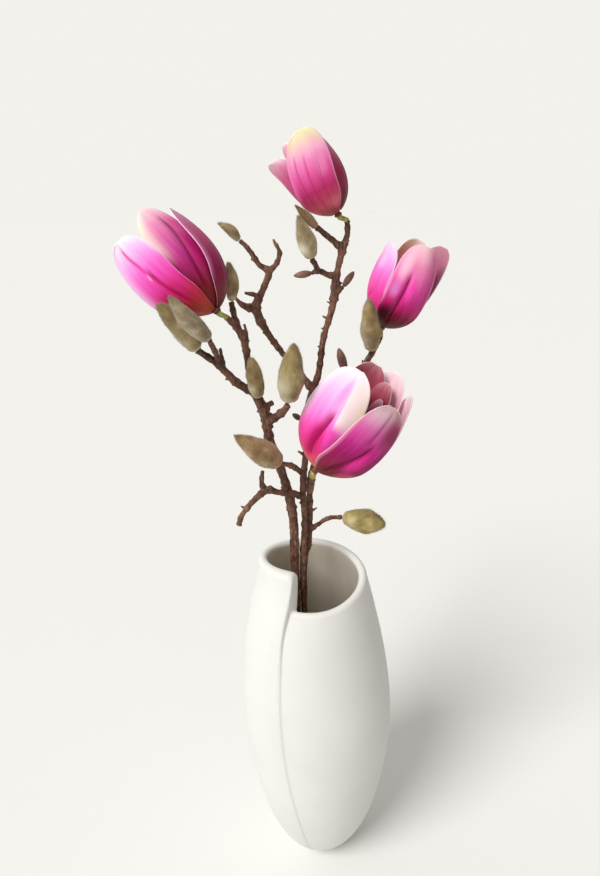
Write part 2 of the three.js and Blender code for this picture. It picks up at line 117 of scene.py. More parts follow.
# %% [markdown]
# ## Floor and light
#
# A pale floor, and one broad soft light from the upper left, as from a window. It is a sun lamp with a
# very wide disc, so the floor stays evenly lit up to the horizon and the shadows are soft.
#
# The surroundings light the object too: bright from behind, greyer from the front and from above, and dim
# and brown from the right, which gives the white vase its beige shaded side. A brown wall would do the
# same, but it would be seen. So a Light Path node makes the surroundings one pale tone where they are
# looked at directly, and the object stands before the same plain wall from every side.
#
# The standard view transform keeps the hot pinks as strong as they are; a film-like one would turn them
# pale.

# %% Floor
def colour(code):
    """Linear red, green, blue and alpha from a colour code such as #F4F3F0."""
    shares = [int(code[i : i + 2], 16) / 255 for i in (1, 3, 5)]
    return (*[s / 12.92 if s <= 0.04045 else ((s + 0.055) / 1.055) ** 2.4 for s in shares], 1)


bpy.ops.object.select_all(action="DESELECT")
bpy.ops.mesh.primitive_plane_add(size=60)
floor = bpy.context.object
floor.name = "floor"
floor_material = bpy.data.materials.new("pale_floor")
floor_material.use_nodes = True
floor_shader = floor_material.node_tree.nodes["Principled BSDF"]
floor_shader.inputs["Base Color"].default_value = colour("#EAEAE8")
floor_shader.inputs["Roughness"].default_value = 0.8
floor_shader.inputs["Specular IOR Level"].default_value = 0.1
floor.data.materials.append(floor_material)
print("floor at height", floor.location.z)

# %% The window light
bpy.ops.object.light_add(type="SUN", location=(-1.2, -0.9, 1.6))
window = bpy.context.object
window.name = "window"
window.data.energy = 2.55
window.data.angle = math.radians(28)
window.data.color = colour("#FFFEFC")[:3]
window.rotation_euler = Vector((0.84, 0.83, -1.25)).to_track_quat("-Z", "Y").to_euler()
print("window light from the", "left" if window.location.x < 0 else "right")

# %% Surroundings and view
PALE_WALL = "#F5F3ED"
# The axis that a tone is spread along, where it starts and where it is full, and the tone.
DIMMER_SIDES = (("Y", 0.45, -0.35, "#A8A39A"), ("X", 0.47, 0.75, "#54402C"), ("Z", 0.35, 1.0, "#BDBDBB"))
world = bpy.data.worlds.new("pale_room")
world.use_nodes = True
sky = world.node_tree
direction = sky.nodes.new("ShaderNodeTexCoord")
parts = sky.nodes.new("ShaderNodeSeparateXYZ")
sky.links.new(direction.outputs["Generated"], parts.inputs["Vector"])
tone = None
for axis, start, end, far in DIMMER_SIDES:
    share = sky.nodes.new("ShaderNodeMapRange")
    share.interpolation_type = "SMOOTHSTEP"
    for socket, value in (("From Min", start), ("From Max", end)):
        share.inputs[socket].default_value = value
    sky.links.new(parts.outputs[axis], share.inputs["Value"])
    blend = sky.nodes.new("ShaderNodeMix")
    blend.data_type = "RGBA"
    blend.inputs[6].default_value = colour(PALE_WALL)
    blend.inputs[7].default_value = colour(far)
    sky.links.new(share.outputs["Result"], blend.inputs[0])
    if tone:
        sky.links.new(tone, blend.inputs[6])
    tone = blend.outputs[2]
ray = sky.nodes.new("ShaderNodeLightPath")
seen = sky.nodes.new("ShaderNodeMix")
seen.data_type = "RGBA"
seen.inputs[7].default_value = colour(PALE_WALL)
sky.links.new(ray.outputs["Is Camera Ray"], seen.inputs[0])
sky.links.new(tone, seen.inputs[6])
sky.links.new(seen.outputs[2], sky.nodes["Background"].inputs["Color"])
sky.nodes["Background"].inputs["Strength"].default_value = 0.98
bpy.context.scene.world = world
bpy.context.scene.view_settings.view_transform = "Standard"
bpy.context.scene.view_settings.look = "None"
print("surroundings:", world.name, "with", len(sky.nodes), "nodes")

# %% [markdown]
# ## Tools for making pieces
#
# Every piece is made the same way: everything is deselected, a primitive is added, its vertices are
# moved to where the real surface is, and modifiers finish it. A finished piece then rides on the one
# body of this object, which has no joints, and stands for the solid that it replaces.

# %% Piece helpers
def add_primitive(kind, name, **settings):
    """Adds a mesh primitive with nothing else selected, and returns its object."""
    bpy.ops.object.select_all(action="DESELECT")
    getattr(bpy.ops.mesh, f"primitive_{kind}_add")(**settings)
    piece = bpy.context.object
    piece.name = name
    return piece


def modify(piece, kind, **settings):
    """Adds a modifier and applies it at once."""
    bpy.ops.object.select_all(action="DESELECT")
    piece.select_set(True)
    bpy.context.view_layer.objects.active = piece
    modifier = piece.modifiers.new(kind.lower(), kind)
    for name, value in settings.items():
        setattr(modifier, name, value)
    bpy.ops.object.modifier_apply(modifier=modifier.name)


def subdivide(piece, levels):
    modify(piece, "SUBSURF", levels=levels, render_levels=levels)


def join(pieces):
    """Joins the pieces into the first of them."""
    bpy.ops.object.select_all(action="DESELECT")
    for piece in pieces:
        piece.select_set(True)
    bpy.context.view_layer.objects.active = pieces[0]
    bpy.ops.object.join()
    return pieces[0]


def face_out(piece):
    """Points all faces of a closed piece outwards."""
    bpy.ops.object.select_all(action="DESELECT")
    piece.select_set(True)
    bpy.context.view_layer.objects.active = piece
    bpy.ops.object.mode_set(mode="EDIT")
    bpy.ops.mesh.select_all(action="SELECT")
    bpy.ops.mesh.normals_make_consistent(inside=False)
    bpy.ops.object.mode_set(mode="OBJECT")


def hand_in(piece, slot, nodes):
    """Gives a finished piece its body and hides the solids that it stands for. The slot is not used."""
    piece.data.transform(piece.matrix_world)
    piece.matrix_world = Matrix.Identity(4)
    piece.data.polygons.foreach_set("use_smooth", [True] * len(piece.data.polygons))
    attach(piece, "root")
    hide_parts(*nodes)
    triangles = sum(len(face.vertices) - 2 for face in piece.data.polygons)
    print(f"{piece.name}: {triangles} triangles, stands for {', '.join(nodes)}")


# %% Material helpers
def add_node(tree, kind, settings=None, inputs=None):
    """Adds a shader node. An input is a value, or another node's socket that is then linked to it."""
    node = tree.nodes.new(kind)
    for name, value in (settings or {}).items():
        setattr(node, name, value)
    for socket, value in (inputs or {}).items():
        if isinstance(value, bpy.types.NodeSocket):
            tree.links.new(value, node.inputs[socket])
        else:
            node.inputs[socket].default_value = value
    return node


def new_material(name, constants):
    """A material with its plain numbers set on the shader's own sockets."""
    material = bpy.data.materials.new(name)
    material.use_nodes = True
    shader = material.node_tree.nodes["Principled BSDF"]
    for socket, value in constants.items():
        shader.inputs[socket].default_value = value
    return material, material.node_tree, shader


def mix(tree, share, first, second):
    """A mix of two colours, each a socket or a colour code."""
    first, second = (colour(c) if isinstance(c, str) else c for c in (first, second))
    return add_node(tree, "ShaderNodeMix", {"data_type": "RGBA"}, {0: share, 6: first, 7: second}).outputs[2]


def math_of(tree, operation, first, second=0.0, third=0.0):
    return add_node(
        tree, "ShaderNodeMath", {"operation": operation}, {0: first, 1: second, 2: third},
    ).outputs[0]


def ease(tree, value, start, end, low=0.0, high=1.0):
    """Eases from low to high while the value goes from start to end; start may be the larger one."""
    if start > end:
        start, end, low, high = end, start, high, low
    inputs = {"Value": value, "From Min": start, "From Max": end, "To Min": low, "To Max": high}
    return add_node(tree, "ShaderNodeMapRange", {"interpolation_type": "SMOOTHSTEP"}, inputs).outputs["Result"]


def ramp(tree, value, stops):
    """A colour ramp from (place, colour code) stops."""
    node = add_node(tree, "ShaderNodeValToRGB", None, {"Fac": value})
    elements = node.color_ramp.elements
    elements[0].position, elements[1].position = stops[0][0], stops[-1][0]
    elements[0].color, elements[1].color = colour(stops[0][1]), colour(stops[-1][1])
    for place, code in stops[1:-1]:
        elements.new(place).color = colour(code)
    return node.outputs["Color"]


def noise_of(tree, vector, scale, detail, roughness=0.5):
    inputs = {"Vector": vector, "Scale": scale, "Detail": detail, "Roughness": roughness}
    return add_node(tree, "ShaderNodeTexNoise", None, inputs).outputs["Fac"]


def bump(tree, height, strength, distance, below=None):
    """A bump from a height socket; distance is in metres. It may lie on another bump."""
    inputs = {"Height": height, "Strength": strength, "Distance": distance}
    if below is not None:
        inputs["Normal"] = below
    return add_node(tree, "ShaderNodeBump", None, inputs).outputs["Normal"]


def object_place(tree, scale=(1, 1, 1)):
    """Object coordinates, stretched by a Mapping node."""
    place = add_node(tree, "ShaderNodeTexCoord").outputs["Object"]
    return add_node(tree, "ShaderNodeMapping", None, {"Vector": place, "Scale": scale}).outputs["Vector"]


print("white is", colour("#FFFFFF"))

# %% [markdown]
# ## The vase
#
# The vase looks like one sheet of clay rolled into a tall barrel: its rim climbs through one turn, so
# that its end stands 30 mm above its start, and the end lies a little proud over the start. That leaves
# the notch in the rim and the soft seam below it, down to the foot. The barrel leans a little to the
# left under its mouth, as handmade pots do.
#
# It could be turned on a lathe and cut, but then the notch gets sharp corners that a fired glaze never
# has. Here it is made as the potter would: a flat grid is rolled up. Its columns run round the vase and
# crowd at the seam. Its rows follow the wall from the middle of the foot up the outside, over the round
# lip and down the inside. The two edges are welded at the seam, and Subdivision Surface rounds them.

# %% Outline, wall, rim and seam of the vase
# Each line gives a value and the height, or for the rim the turn in degrees, at which it holds.
VASE_RADIUS = [
    (18, 0), (29.8, 12), (45.6, 45), (56.5, 95), (60.9, 150), (57.6, 205), (48.6, 255), (41.1, 287), (40, 306),
]
VASE_LEAN = [(0, 0), (0.3, 95), (0.6, 150), (-1.2, 205), (-2.2, 255), (-1.8, 287), (-1.5, 306)]
VASE_WALL = [(3.6, 0), (3.6, 20), (5, 50), (5.6, 100), (5.6, 235), (6.6, 262), (6.8, 282), (6.8, 306)]
SEAM_STEP = [(0.5, 0), (0.8, 50), (1.1, 150), (1.5, 225), (2.4, 256), (3.9, 274), (4.3, 306)]
SEAM_ANGLE = [
    (-105.5, 0), (-108, 43), (-113.5, 95), (-118.5, 150), (-119.5, 205), (-118, 250), (-114, 276),
    (-109.5, 300), (-109, 306),
]
RIM_HEIGHT = [
    (274.4, 0), (275.2, 40), (279.2, 80), (283, 120), (286.5, 160), (289.3, 200), (292.3, 240), (297.4, 280),
    (302.4, 320), (304.7, 345), (305, 360),
]
FLOOR, FLOOR_RADII = 9, (18, 8, 0.02)  # height of the inner floor, and its last three rings
HIGH_CORNER, CORNER_START, CORNER_TURN = 4.2, 354.2, 5.8  # how far it drops, and over which turn
LOW_FILLET, FILLET_TURN = 3.2, 4.4
INNER_SEAM_ANGLE, SEAM_BLEND_TURN = -108.3, 30  # the seam of the inner wall is plumb
CROWDING = 0.9  # of the columns at the seam, from 0 to below 1


def line_of(pairs):
    return spline([Vector((*pair, 0)) for pair in pairs], 12)


def read_line(line, key):
    """The value of a line of (value, key) points at a key."""
    upper = max(1, next((i for i, p in enumerate(line) if p.y >= key), len(line) - 1))
    a, b = line[upper - 1], line[upper]
    return lerp(a.x, b.x, (key - a.y) / (b.y - a.y))


lines = [line_of(pairs) for pairs in (VASE_RADIUS, VASE_LEAN, VASE_WALL, SEAM_STEP, SEAM_ANGLE, RIM_HEIGHT)]
radius_line, lean_line, wall_line, step_line, angle_line, rim_line = lines


def rim_height(turn):
    """Height of the rim: the high end has a rounded corner, and the low start has a small fillet."""
    corner = HIGH_CORNER * (1 - math.sqrt(max(0, 1 - max(0, (turn - CORNER_START) / CORNER_TURN) ** 2)))
    fillet = LOW_FILLET * (1 - math.sqrt(max(0, 1 - max(0, (FILLET_TURN - turn) / FILLET_TURN) ** 2)))
    return read_line(rim_line, turn) - corner + fillet


def proudness(turn, height):
    """How far the outside stands out: the end of the roll is proud and its start dips beside it."""
    step = read_line(step_line, height)
    proud, sunk = 0.72 * step, -0.28 * step
    if turn > 180:
        rounded = 1.2 * (1 - math.sqrt(max(0, 1 - max(0, (turn - 358) / 2) ** 2))) * smooth(step / 3)
        return proud * smooth((turn - 300) / 56) - rounded
    soft = lerp(2.6, 0.5, smooth((height - 225) / 45))
    return sunk * (1 - smooth(turn / 34)) + (proud - sunk) * (1 - smooth(turn / soft))


print(
    "belly", 2 * read_line(radius_line, 150), "mm wide, rim from", round(rim_height(30), 1), "to",
    round(rim_height(350), 1),
)

# %% The rows of the rolled sheet
# A row is (share of the rim's height, millimetres below the rim, share of the wall's thickness inwards).
FOOT_ROWS = [(0.02, 1.4), (11, 1.4), (13, 1.3), (13.8, 0.5), (15, 0.1), (16.6, 0.1)]
LIP = [
    (0.5 - 0.5 * math.cos(math.radians(a)), 0.5 * (1 - math.sin(math.radians(a)))) for a in range(0, 181, 18)
]
outside = [
    (share, 0) for share in (
        0.004, 0.012, 0.025, 0.045, 0.07, 0.1, 0.14, 0.19, 0.25, 0.32, 0.39, 0.46, 0.53, 0.6, 0.67, 0.74, 0.8,
        0.85, 0.89, 0.92, 0.945, 0.965,
    )
]
inside = [
    share for share in (
        0.955, 0.93, 0.9, 0.86, 0.81, 0.75, 0.68, 0.6, 0.52, 0.44, 0.36, 0.28, 0.2, 0.14, 0.09, 0.05,
    )
]
ROWS = len(FOOT_ROWS) + len(outside) + len(LIP) + len(inside) + len(FLOOR_RADII)
COLUMNS = 104  # the last of them is laid on the first again, which closes the sheet


def wall_point(row, turn):
    """Radius and height of the sheet at a row and a turn, and the inward share, from 0 outside to 1 inside."""
    if row < len(FOOT_ROWS):
        return *FOOT_ROWS[row], 0
    row -= len(FOOT_ROWS)
    rim = rim_height(turn)
    if row < len(outside):
        height = outside[row][0] * rim
        return read_line(radius_line, height) + proudness(turn, height), height, 0
    row -= len(outside)
    wall = read_line(wall_line, rim)
    outer = read_line(radius_line, rim - wall / 2) + proudness(turn, rim - wall / 2)
    inner = read_line(radius_line, rim - wall / 2) - wall
    if row < len(LIP):
        inwards, down = LIP[row]
        return lerp(outer, inner, inwards), rim - down * wall, inwards
    row -= len(LIP)
    if row < len(inside):
        height = inside[row] * rim
        return read_line(radius_line, height) - read_line(wall_line, height), height, 1
    return FLOOR_RADII[row - len(inside)], FLOOR, 1


print("the sheet has", COLUMNS, "columns and", ROWS, "rows")

# %% The rolled sheet
vase = add_primitive("grid", "vase", x_subdivisions=COLUMNS, y_subdivisions=ROWS - 1, size=2)
for vertex in vase.data.vertices:
    share = round((vertex.co.x + 1) / 2 * COLUMNS) % COLUMNS / (COLUMNS - 1)
    turn = 360 * (share - CROWDING * math.sin(2 * math.pi * share) / (2 * math.pi))
    radius, height, inwards = wall_point(round((vertex.co.y + 1) / 2 * (ROWS - 1)), turn)
    seam_angle = read_line(angle_line, height)
    near_seam = smooth(1 - min(turn, 360 - turn) / SEAM_BLEND_TURN)
    angle = math.radians(seam_angle + turn + (INNER_SEAM_ANGLE - seam_angle) * inwards * near_seam)
    centre = read_line(lean_line, height)
    vertex.co = mm(centre + radius * math.cos(angle), radius * math.sin(angle), height)
inner_rows = len(FOOT_ROWS) + len(outside) + len(LIP) - 2
for face in vase.data.polygons:
    face.material_index = 1 if face.index // COLUMNS >= inner_rows and face.index % COLUMNS < COLUMNS - 1 else 0
bpy.ops.object.mode_set(mode="EDIT")
bpy.ops.mesh.select_all(action="SELECT")
bpy.ops.mesh.remove_doubles(threshold=0.05 * MM)
bpy.ops.object.mode_set(mode="OBJECT")
print("vase sheet:", len(vase.data.polygons), "faces")

# %% [markdown]
# ### Matt white ceramic
#
# Outside, the vase is white, unglazed and matt, with a very fine sandy skin and the slightest waviness
# from the hand. Inside it has a thin cream glaze: smoother, a little glossy and streaked where it
# ran down. Both are built from noise on Object coordinates, coarse for the tone and fine for the grain.

# %% Ceramic materials
def ceramic(name, tones, constants, grain, grain_depth, run=1.0):
    """Tones are the two of the soft clouds and the one of the specks; run stretches the clouds downwards."""
    material, tree, shader = new_material(name, constants)
    place = object_place(tree)
    cloud = noise_of(tree, object_place(tree, (1, 1, run)), 18 / run**0.5, 3)
    speck = noise_of(tree, place, 900, 2)
    tone = ramp(tree, cloud, [(0.35, tones[0]), (0.65, tones[1])])
    tone = mix(tree, ease(tree, speck, 0.62, 0.8, 0.0, 0.35), tone, tones[2])
    tree.links.new(tone, shader.inputs["Base Color"])
    waves = bump(tree, noise_of(tree, place, 45, 2), 0.25, 0.0006)
    fine = bump(tree, noise_of(tree, place, grain, 3, 0.6), 0.5, grain_depth, waves)
    tree.links.new(fine, shader.inputs["Normal"])
    return material


bisque = ceramic(
    "white_bisque", ("#E0E0DD", "#E5E5E2", "#D4D0CA"), {"Roughness": 0.6, "Specular IOR Level": 0.35}, 1500,
    0.00012,
)
glaze = ceramic(
    "inner_glaze", ("#E8E0D0", "#F4EEE0", "#D2C5AC"),
    {"Roughness": 0.3, "Specular IOR Level": 0.6, "Coat Weight": 0.4, "Coat Roughness": 0.15},
    260, 0.00005, 0.2,
)
vase.data.materials.append(bisque)
vase.data.materials.append(glaze)
subdivide(vase, 1)
face_out(vase)
hand_in(vase, "vase_ceramic", ["vase"])

# %% [markdown]
# ## The branches
#
# Magnolia wood is knobbly: it bends at every node, swells where it forks, is ringed with old bud scars,
# and carries short spurs. The limbs are drawn as curves with a radius of their own at every point, then
# all limbs of a branch are joined and remeshed into one skin, so that forks grow together instead of
# crossing like pipes. A noise displacement breaks the last smoothness.
#
# The Skin modifier could also grow them from edges, but it gives no rings and thins at the forks.

# %% Limbs of the three branches, in millimetres
# Each limb is a list of points (x, y, z, radius), from where it leaves the wood to its end.
LEFT_BRANCH = [
    [
        (-12, -9, 12, 3.2), (-15, -3, 150, 3.5), (-14.5, -1, 293, 3.7), (-14.2, -2, 329, 3.7),
        (-17.5, -4, 355, 3.5), (-23.3, -8, 379, 3.4), (-28.6, -12, 400, 3.4), (-30, -14, 415, 4),
        (-36, -18, 432, 3.2), (-46, -24, 441, 2.9), (-57, -31, 456, 2.5), (-67.5, -35.5, 466, 2.1),
    ],
    [(-54, -30, 453, 2.4), (-56.5, -37, 464, 2), (-58.5, -45.5, 474, 1.8)],
    [(-53, -29, 452, 1.7), (-54, -28, 459, 1.3), (-55, -28, 465, 1)],
    [
        (-34, -16, 427, 2.8), (-39, -13, 446, 2.3), (-41, -16, 468, 2.7), (-46, -20, 478, 2.3),
        (-50, -23, 483, 2.1),
    ],
    [(-43, -18, 473, 2.4), (-46, -16, 483, 2.1), (-47.2, -14.5, 491, 1.8)],
    [(-40, -15, 462, 1.8), (-39, -15, 471, 1.2), (-40, -16, 477, 0.8)],
    [(-33, -16, 425, 2.3), (-33, -21, 427, 2.1), (-33, -23.6, 430.6, 1.8)],
    [(-29, -14, 410, 3.4), (-22, -18, 416, 2.9), (-17, -21, 421, 2.6), (-14.3, -22.5, 425, 2.3)],
    [(-29.5, -14, 416, 2.4), (-28.5, -15, 422, 2.3), (-24.5, -16, 425, 1.9)],
]
MIDDLE_BRANCH = [
    [
        (-4, -11, 12, 2.3), (-7.5, -4, 150, 2.4), (-8, 1.5, 293, 2.5), (-5.8, 0, 327, 2.5), (-6.4, 0, 352, 2.6),
        (-5, 1, 368, 2.6), (-2, 4, 390, 2.7), (1, 10, 417, 3.5), (7, 14, 435, 2.5), (11, 16, 459, 2.3),
        (17, 18, 478, 2.5), (19.5, 19.5, 490, 3.3), (20.5, 20.5, 499, 3.1), (22.5, 22, 508, 2.3),
        (25.5, 23.5, 518, 2.9), (28.3, 24, 526, 2.1), (28.2, 23, 535.5, 1.9),
    ],
    [
        (3, 12, 424, 3.2), (-7, 17, 437, 2.5), (-22, 22, 455, 2.4), (-33, 25, 474, 3.3), (-34.5, 26, 482, 3.6),
        (-29, 28, 493, 2.5), (-25, 28, 504, 2.7), (-31, 28, 509, 2.1), (-38, 27, 520, 1.8), (-43, 26, 525, 1.6),
    ],
    [(-26, 28, 503, 2.2), (-19.5, 29, 509, 1.9), (-17, 30, 516, 1.8), (-21, 30, 525, 0.8)],
    [(-31, 27, 488, 2.1), (-37, 25, 490, 1.6), (-42, 24, 491, 1.1)],
    [(-34, 26, 481, 3.1), (-40, 25, 481, 2.9), (-45, 24.5, 484, 2), (-49, 24, 489, 1)],
    [(25, 23, 518, 2.7), (19, 20, 523, 2.3), (13, 17, 528, 2.1), (8, 14.5, 532, 1.8)],
    [(22, 21, 500, 2.8), (15, 17, 502, 2.1), (8, 14, 505, 2.1), (4, 12, 504, 1.4)],
    [(9, 14.5, 504, 2.1), (6, 12, 510, 1.8), (4.5, 11, 513, 1.6)],
    [(18, 19, 488, 2.6), (22, 18, 491, 1.8), (25, 17, 494, 1.3)],
    [(-1, 6, 401, 1.9), (-4, 3, 404, 1.5), (-6, 2, 406, 1.2)],
    [(-5, 0, 364, 2.4), (-10, -9, 373, 2.1), (-15, -15, 379, 2.1), (-21.2, -21.3, 383.2, 1.8)],
    [
        (-6, 0, 346, 2.7), (-14, -10, 355, 2.4), (-24, -14, 358, 2.4), (-31, -16, 361, 2.9),
        (-41, -20, 355, 2.3), (-50, -24, 345, 2), (-52, -25, 339, 2.2),
    ],
    [(-33, -16, 359, 2.4), (-35, -15, 367, 1.9), (-34, -14, 375, 1.3)],
]
RIGHT_BRANCH = [
    [
        (-2, 9, 12, 2.4), (-7, 8, 150, 2.5), (-7, 9, 285, 2.5), (-3.2, 6.5, 305, 2.5), (-2.5, 5, 317, 2.6),
        (-1.7, 4, 343, 2.6), (-0.6, 4, 360, 2.6), (5.5, 9, 376, 2.4), (15, 14, 397, 2.2), (26, 18, 416, 2.4),
        (35, 20, 432, 2.1), (43, 20, 444, 2.2), (45, 19, 449, 1.9),
    ],
    [(-1.3, 4, 348, 2.5), (-0.3, -3.5, 357, 2.4), (0.8, -11, 368, 2.2)],
    [(42, 20, 442, 2.2), (48.5, 23.5, 451, 1.9), (52, 27, 457, 1.8)],
    [(25, 18, 414, 1.9), (27, 16, 428, 1.6), (26, 14, 436, 1.3)],
    [(-2.4, 5, 316, 2.3), (5, 2, 323, 1.9), (12, 0, 328.5, 1.9), (21.5, -3, 330.5, 1.7)],
]
print("limbs:", len(LEFT_BRANCH) + len(MIDDLE_BRANCH) + len(RIGHT_BRANCH))

# %% [markdown]
# Short ticks stand on the wood like blunt thorns, where small buds and leaves once sat. Each is written
# as the place on the limb and its own tip. More of them are scattered by chance along every limb.

# %% Thorn-like ticks
TICKS = {
    "branch_left": [
        ((-52, -28, 449), (-55, -29, 453)), ((-38, -13, 441), (-42, -13, 443)),
        ((-22, -8, 376), (-27, -9, 380)), ((-31, -15, 418), (-35.5, -16, 419)),
        ((-29, -12, 404), (-24.5, -13, 407)),
    ],
    "branch_middle": [
        ((15, 17.5, 472), (10.8, 16.5, 475)), ((13, 17, 465), (9.2, 16, 467)),
        ((10, 15.5, 453), (6.4, 14.5, 455)), ((18, 18, 482), (14, 17.5, 484.5)),
        ((-14, 19.5, 446), (-18, 19, 443)), ((-5.5, 1, 380), (-9, 0, 383)), ((-6.4, 0, 340), (-9.8, -1, 343)),
        ((-46, -22, 350), (-50, -23, 353)), ((26, 23.5, 521), (29.5, 22, 523)),
    ],
    "branch_right": [
        ((0.4, 4, 333), (3.4, 3, 336)), ((33, 19, 428), (35, 18, 424)), ((40, 20, 439), (38, 19, 443)),
    ],
}
print("ticks:", sum(len(ticks) for ticks in TICKS.values()))

# %% One limb with nodes, rings and spurs
def add_tick(place, tip, radius):
    """A blunt cone that leans from a place on the wood to its tip; both in metres."""
    way = tip - place
    return add_primitive(
        "cone",
        "spur",
        vertices=8,
        radius1=radius,
        radius2=0.45 * radius,
        depth=way.length,
        location=(place + tip) / 2,
        rotation=way.to_track_quat("Z", "X").to_euler(),
    )


def add_limb(points, dice):
    """A tube along a smooth line that swells at its nodes. Returns the tube and a few thorn-like spurs."""
    line = spline([mm(*p) for p in points], 10)
    travelled = [0.0]
    for a, b in zip(line, line[1:]):
        travelled.append(travelled[-1] + (b - a).length / MM)
    length = travelled[-1]
    nodes, place = [], dice.uniform(3, 8)
    while place < length:
        nodes.append((place, dice.uniform(0.08, 0.3), dice.uniform(0.7, 1.6)))
        place += dice.uniform(5, 13)
    curve = bpy.data.curves.new("limb", "CURVE")
    curve.dimensions = "3D"
    curve.bevel_depth = MM
    curve.bevel_resolution = 2
    curve.use_fill_caps = True
    path = curve.splines.new("POLY")
    path.points.add(len(line) - 1)
    for control, here, s in zip(path.points, line, travelled):
        swell = sum(size * math.exp(-(((s - at) / width) ** 2)) for at, size, width in nodes)
        ends = 0.12 * math.exp(-(((length - s) / 1.4) ** 2))
        control.co = (*here[:3], 1)
        control.radius = here[3] / MM * (0.94 + swell + ends + 0.06 * noise.noise(here.xyz * 160))
    tube = bpy.data.objects.new("limb", curve)
    bpy.context.collection.objects.link(tube)
    bpy.ops.object.select_all(action="DESELECT")
    tube.select_set(True)
    bpy.context.view_layer.objects.active = tube
    bpy.ops.object.convert(target="MESH")
    parts = [bpy.context.object]
    for at, _, _ in nodes:
        if at / length > 0.96 or line[0].z + at * MM < 0.27 or dice.random() > 0.45:
            continue
        nearest = min(range(1, len(line) - 1), key=lambda i: abs(travelled[i] - at))
        along = (line[nearest + 1] - line[nearest - 1]).xyz.normalized()
        sideways = along.cross(
            Vector((dice.uniform(-1, 1), dice.uniform(-1, 1), dice.uniform(-1, 1)))
        ).normalized()
        here, radius = line[nearest].xyz, line[nearest][3]
        parts.append(
            add_tick(
                here, here + (along * 0.7 + sideways).normalized() * (1.3 * radius + 0.9 * MM), 0.5 * radius,
            )
        )
    return parts


print("limb maker ready")

# %% [markdown]
# ### Bark
#
# The bark is warm brown and dull, with short pale pores. Its ridges are painted greyish pink as a
# painted highlight and its cracks nearly black as painted shade, both following the streaks that the
# bump raises and sinks. Noise that is stretched along the wood, which runs mostly upwards, makes the
# streaks, and Voronoi cells make the pores and the scaly breaks.

# %% Bark material
bark, tree, shader = new_material("magnolia_bark", {"Roughness": 0.66, "Specular IOR Level": 0.35})
stretched = object_place(tree, (1, 1, 0.28))
streaks = noise_of(tree, stretched, 620, 4, 0.62)
patches = noise_of(tree, object_place(tree), 75, 4, 0.6)
cells = add_node(tree, "ShaderNodeTexVoronoi", None, {"Vector": stretched, "Scale": 380}).outputs["Distance"]
pores = ease(tree, cells, 0.16, 0.04)
wood = ramp(tree, patches, [(0.3, "#40261C"), (0.5, "#684636"), (0.7, "#8A6450")])
# Painted highlight: the ridges, where the streak noise is high and the bump raises the bark, are painted
# greyish pink.
wood = mix(tree, ease(tree, streaks, 0.54, 0.72, 0, 0.75), wood, "#A07C68")
# Painted shade: the cracks, where the same noise is low, are painted nearly black.
wood = mix(tree, ease(tree, streaks, 0.46, 0.32, 0, 0.8), wood, "#27150F")
wood = mix(tree, math_of(tree, "MULTIPLY", pores, 0.5), wood, "#B09580")
tree.links.new(wood, shader.inputs["Base Color"])
scaly = bump(tree, cells, 0.4, 0.0005)
tree.links.new(bump(tree, streaks, 0.9, 0.0006, scaly), shader.inputs["Normal"])
print("bark nodes:", len(tree.nodes))

# %% The branches, grown together
lumps = bpy.data.textures.new("bark_lumps", "CLOUDS")
lumps.noise_scale = 0.003
lumps.noise_depth = 2
SKIN_GRID, LUMP_HEIGHT, TICK_RADIUS = 0.5 * MM, 1.0 * MM, 1.15 * MM
for name, limbs, seed in (
    ("branch_left", LEFT_BRANCH, 11), ("branch_middle", MIDDLE_BRANCH, 23), ("branch_right", RIGHT_BRANCH, 37),
):
    dice = random.Random(seed)
    parts = []
    for points in limbs:
        parts += add_limb(points, dice)
    parts += [add_tick(mm(*place), mm(*tip), TICK_RADIUS) for place, tip in TICKS[name]]
    branch = join(parts)
    branch.name = f"{name}_wood"
    modify(branch, "REMESH", mode="VOXEL", voxel_size=SKIN_GRID)
    modify(branch, "SMOOTH", factor=0.5, iterations=3)
    modify(branch, "DISPLACE", texture=lumps, texture_coords="LOCAL", strength=LUMP_HEIGHT, mid_level=0.5)
    branch.data.materials.append(bark)
    hand_in(branch, "bark", [name])

# %% [markdown]
# ## The petals
#
# A magnolia petal is a thin fleshy sheet that is curled round the heart of the flower, folded
# lengthwise like fingers, and pale at its rim. Cloth simulation would crumple it at random, while each
# fold here has its own place. So a grid is laid on the petal's cup, its folds are pressed in, and
# Solidify and Subdivision Surface give the thickness and the soft rim.
#
# A petal stands at its turn round the flower's axis. Its midrib swells out to the belly and ends at the
# tip, swirl winds it round the axis and tuck lets it overlap its neighbour. Foot says how much of the
# ring its root covers, and sharp how pointed its tip is.

# %% The cup of a petal
# Each ring of petals: radius and height of the roots, and how high the cup starts to swell.
OUTER, MIDDLE, INNER = (3.2, -4.2, 0.9), (2.8, -3.3, 1.6), (2.4, -2.4, 2.3)
HEARTMOST, CENTRE = (1.9, -1.5, 3.0), (1.5, -0.5, 3.8)
FRONT = Vector((0, -1, 0))


def cup(shape, across, along):
    """A point of a petal in its flower's frame: across from -1 to 1, along from the root, 0, to the tip, 1."""
    (root, rise, lift), length, foot = shape["whorl"], shape["length"], shape.get("foot", 0.85)
    a, b = (root, rise), (1.15 * shape["belly"], lift + 0.07 * length)
    c, d = (1.1 * shape["belly"], 0.62 * length), (shape["tip"], length)
    weights = ((1 - along) ** 3, 3 * along * (1 - along) ** 2, 3 * along**2 * (1 - along), along**3)
    reach, height = (sum(w * p[i] for w, p in zip(weights, (a, b, c, d))) for i in (0, 1))
    s = min(1, along / 0.36)
    broad = lerp(foot * root, shape["width"], lerp(smooth(s), 1 - (1 - s) ** 2, foot))
    half = broad * (1 - 0.975 * max(0, (along - 0.55) / 0.45) ** 2.6) ** (0.5 * shape.get("sharp", 1))
    angle = math.radians(shape["turn"] + shape.get("swirl", 0) * along) + across * half / reach
    radius = reach + shape.get("tuck", 0) * across * smooth(along / 0.4)
    return Vector((radius * math.cos(angle), radius * math.sin(angle), height))


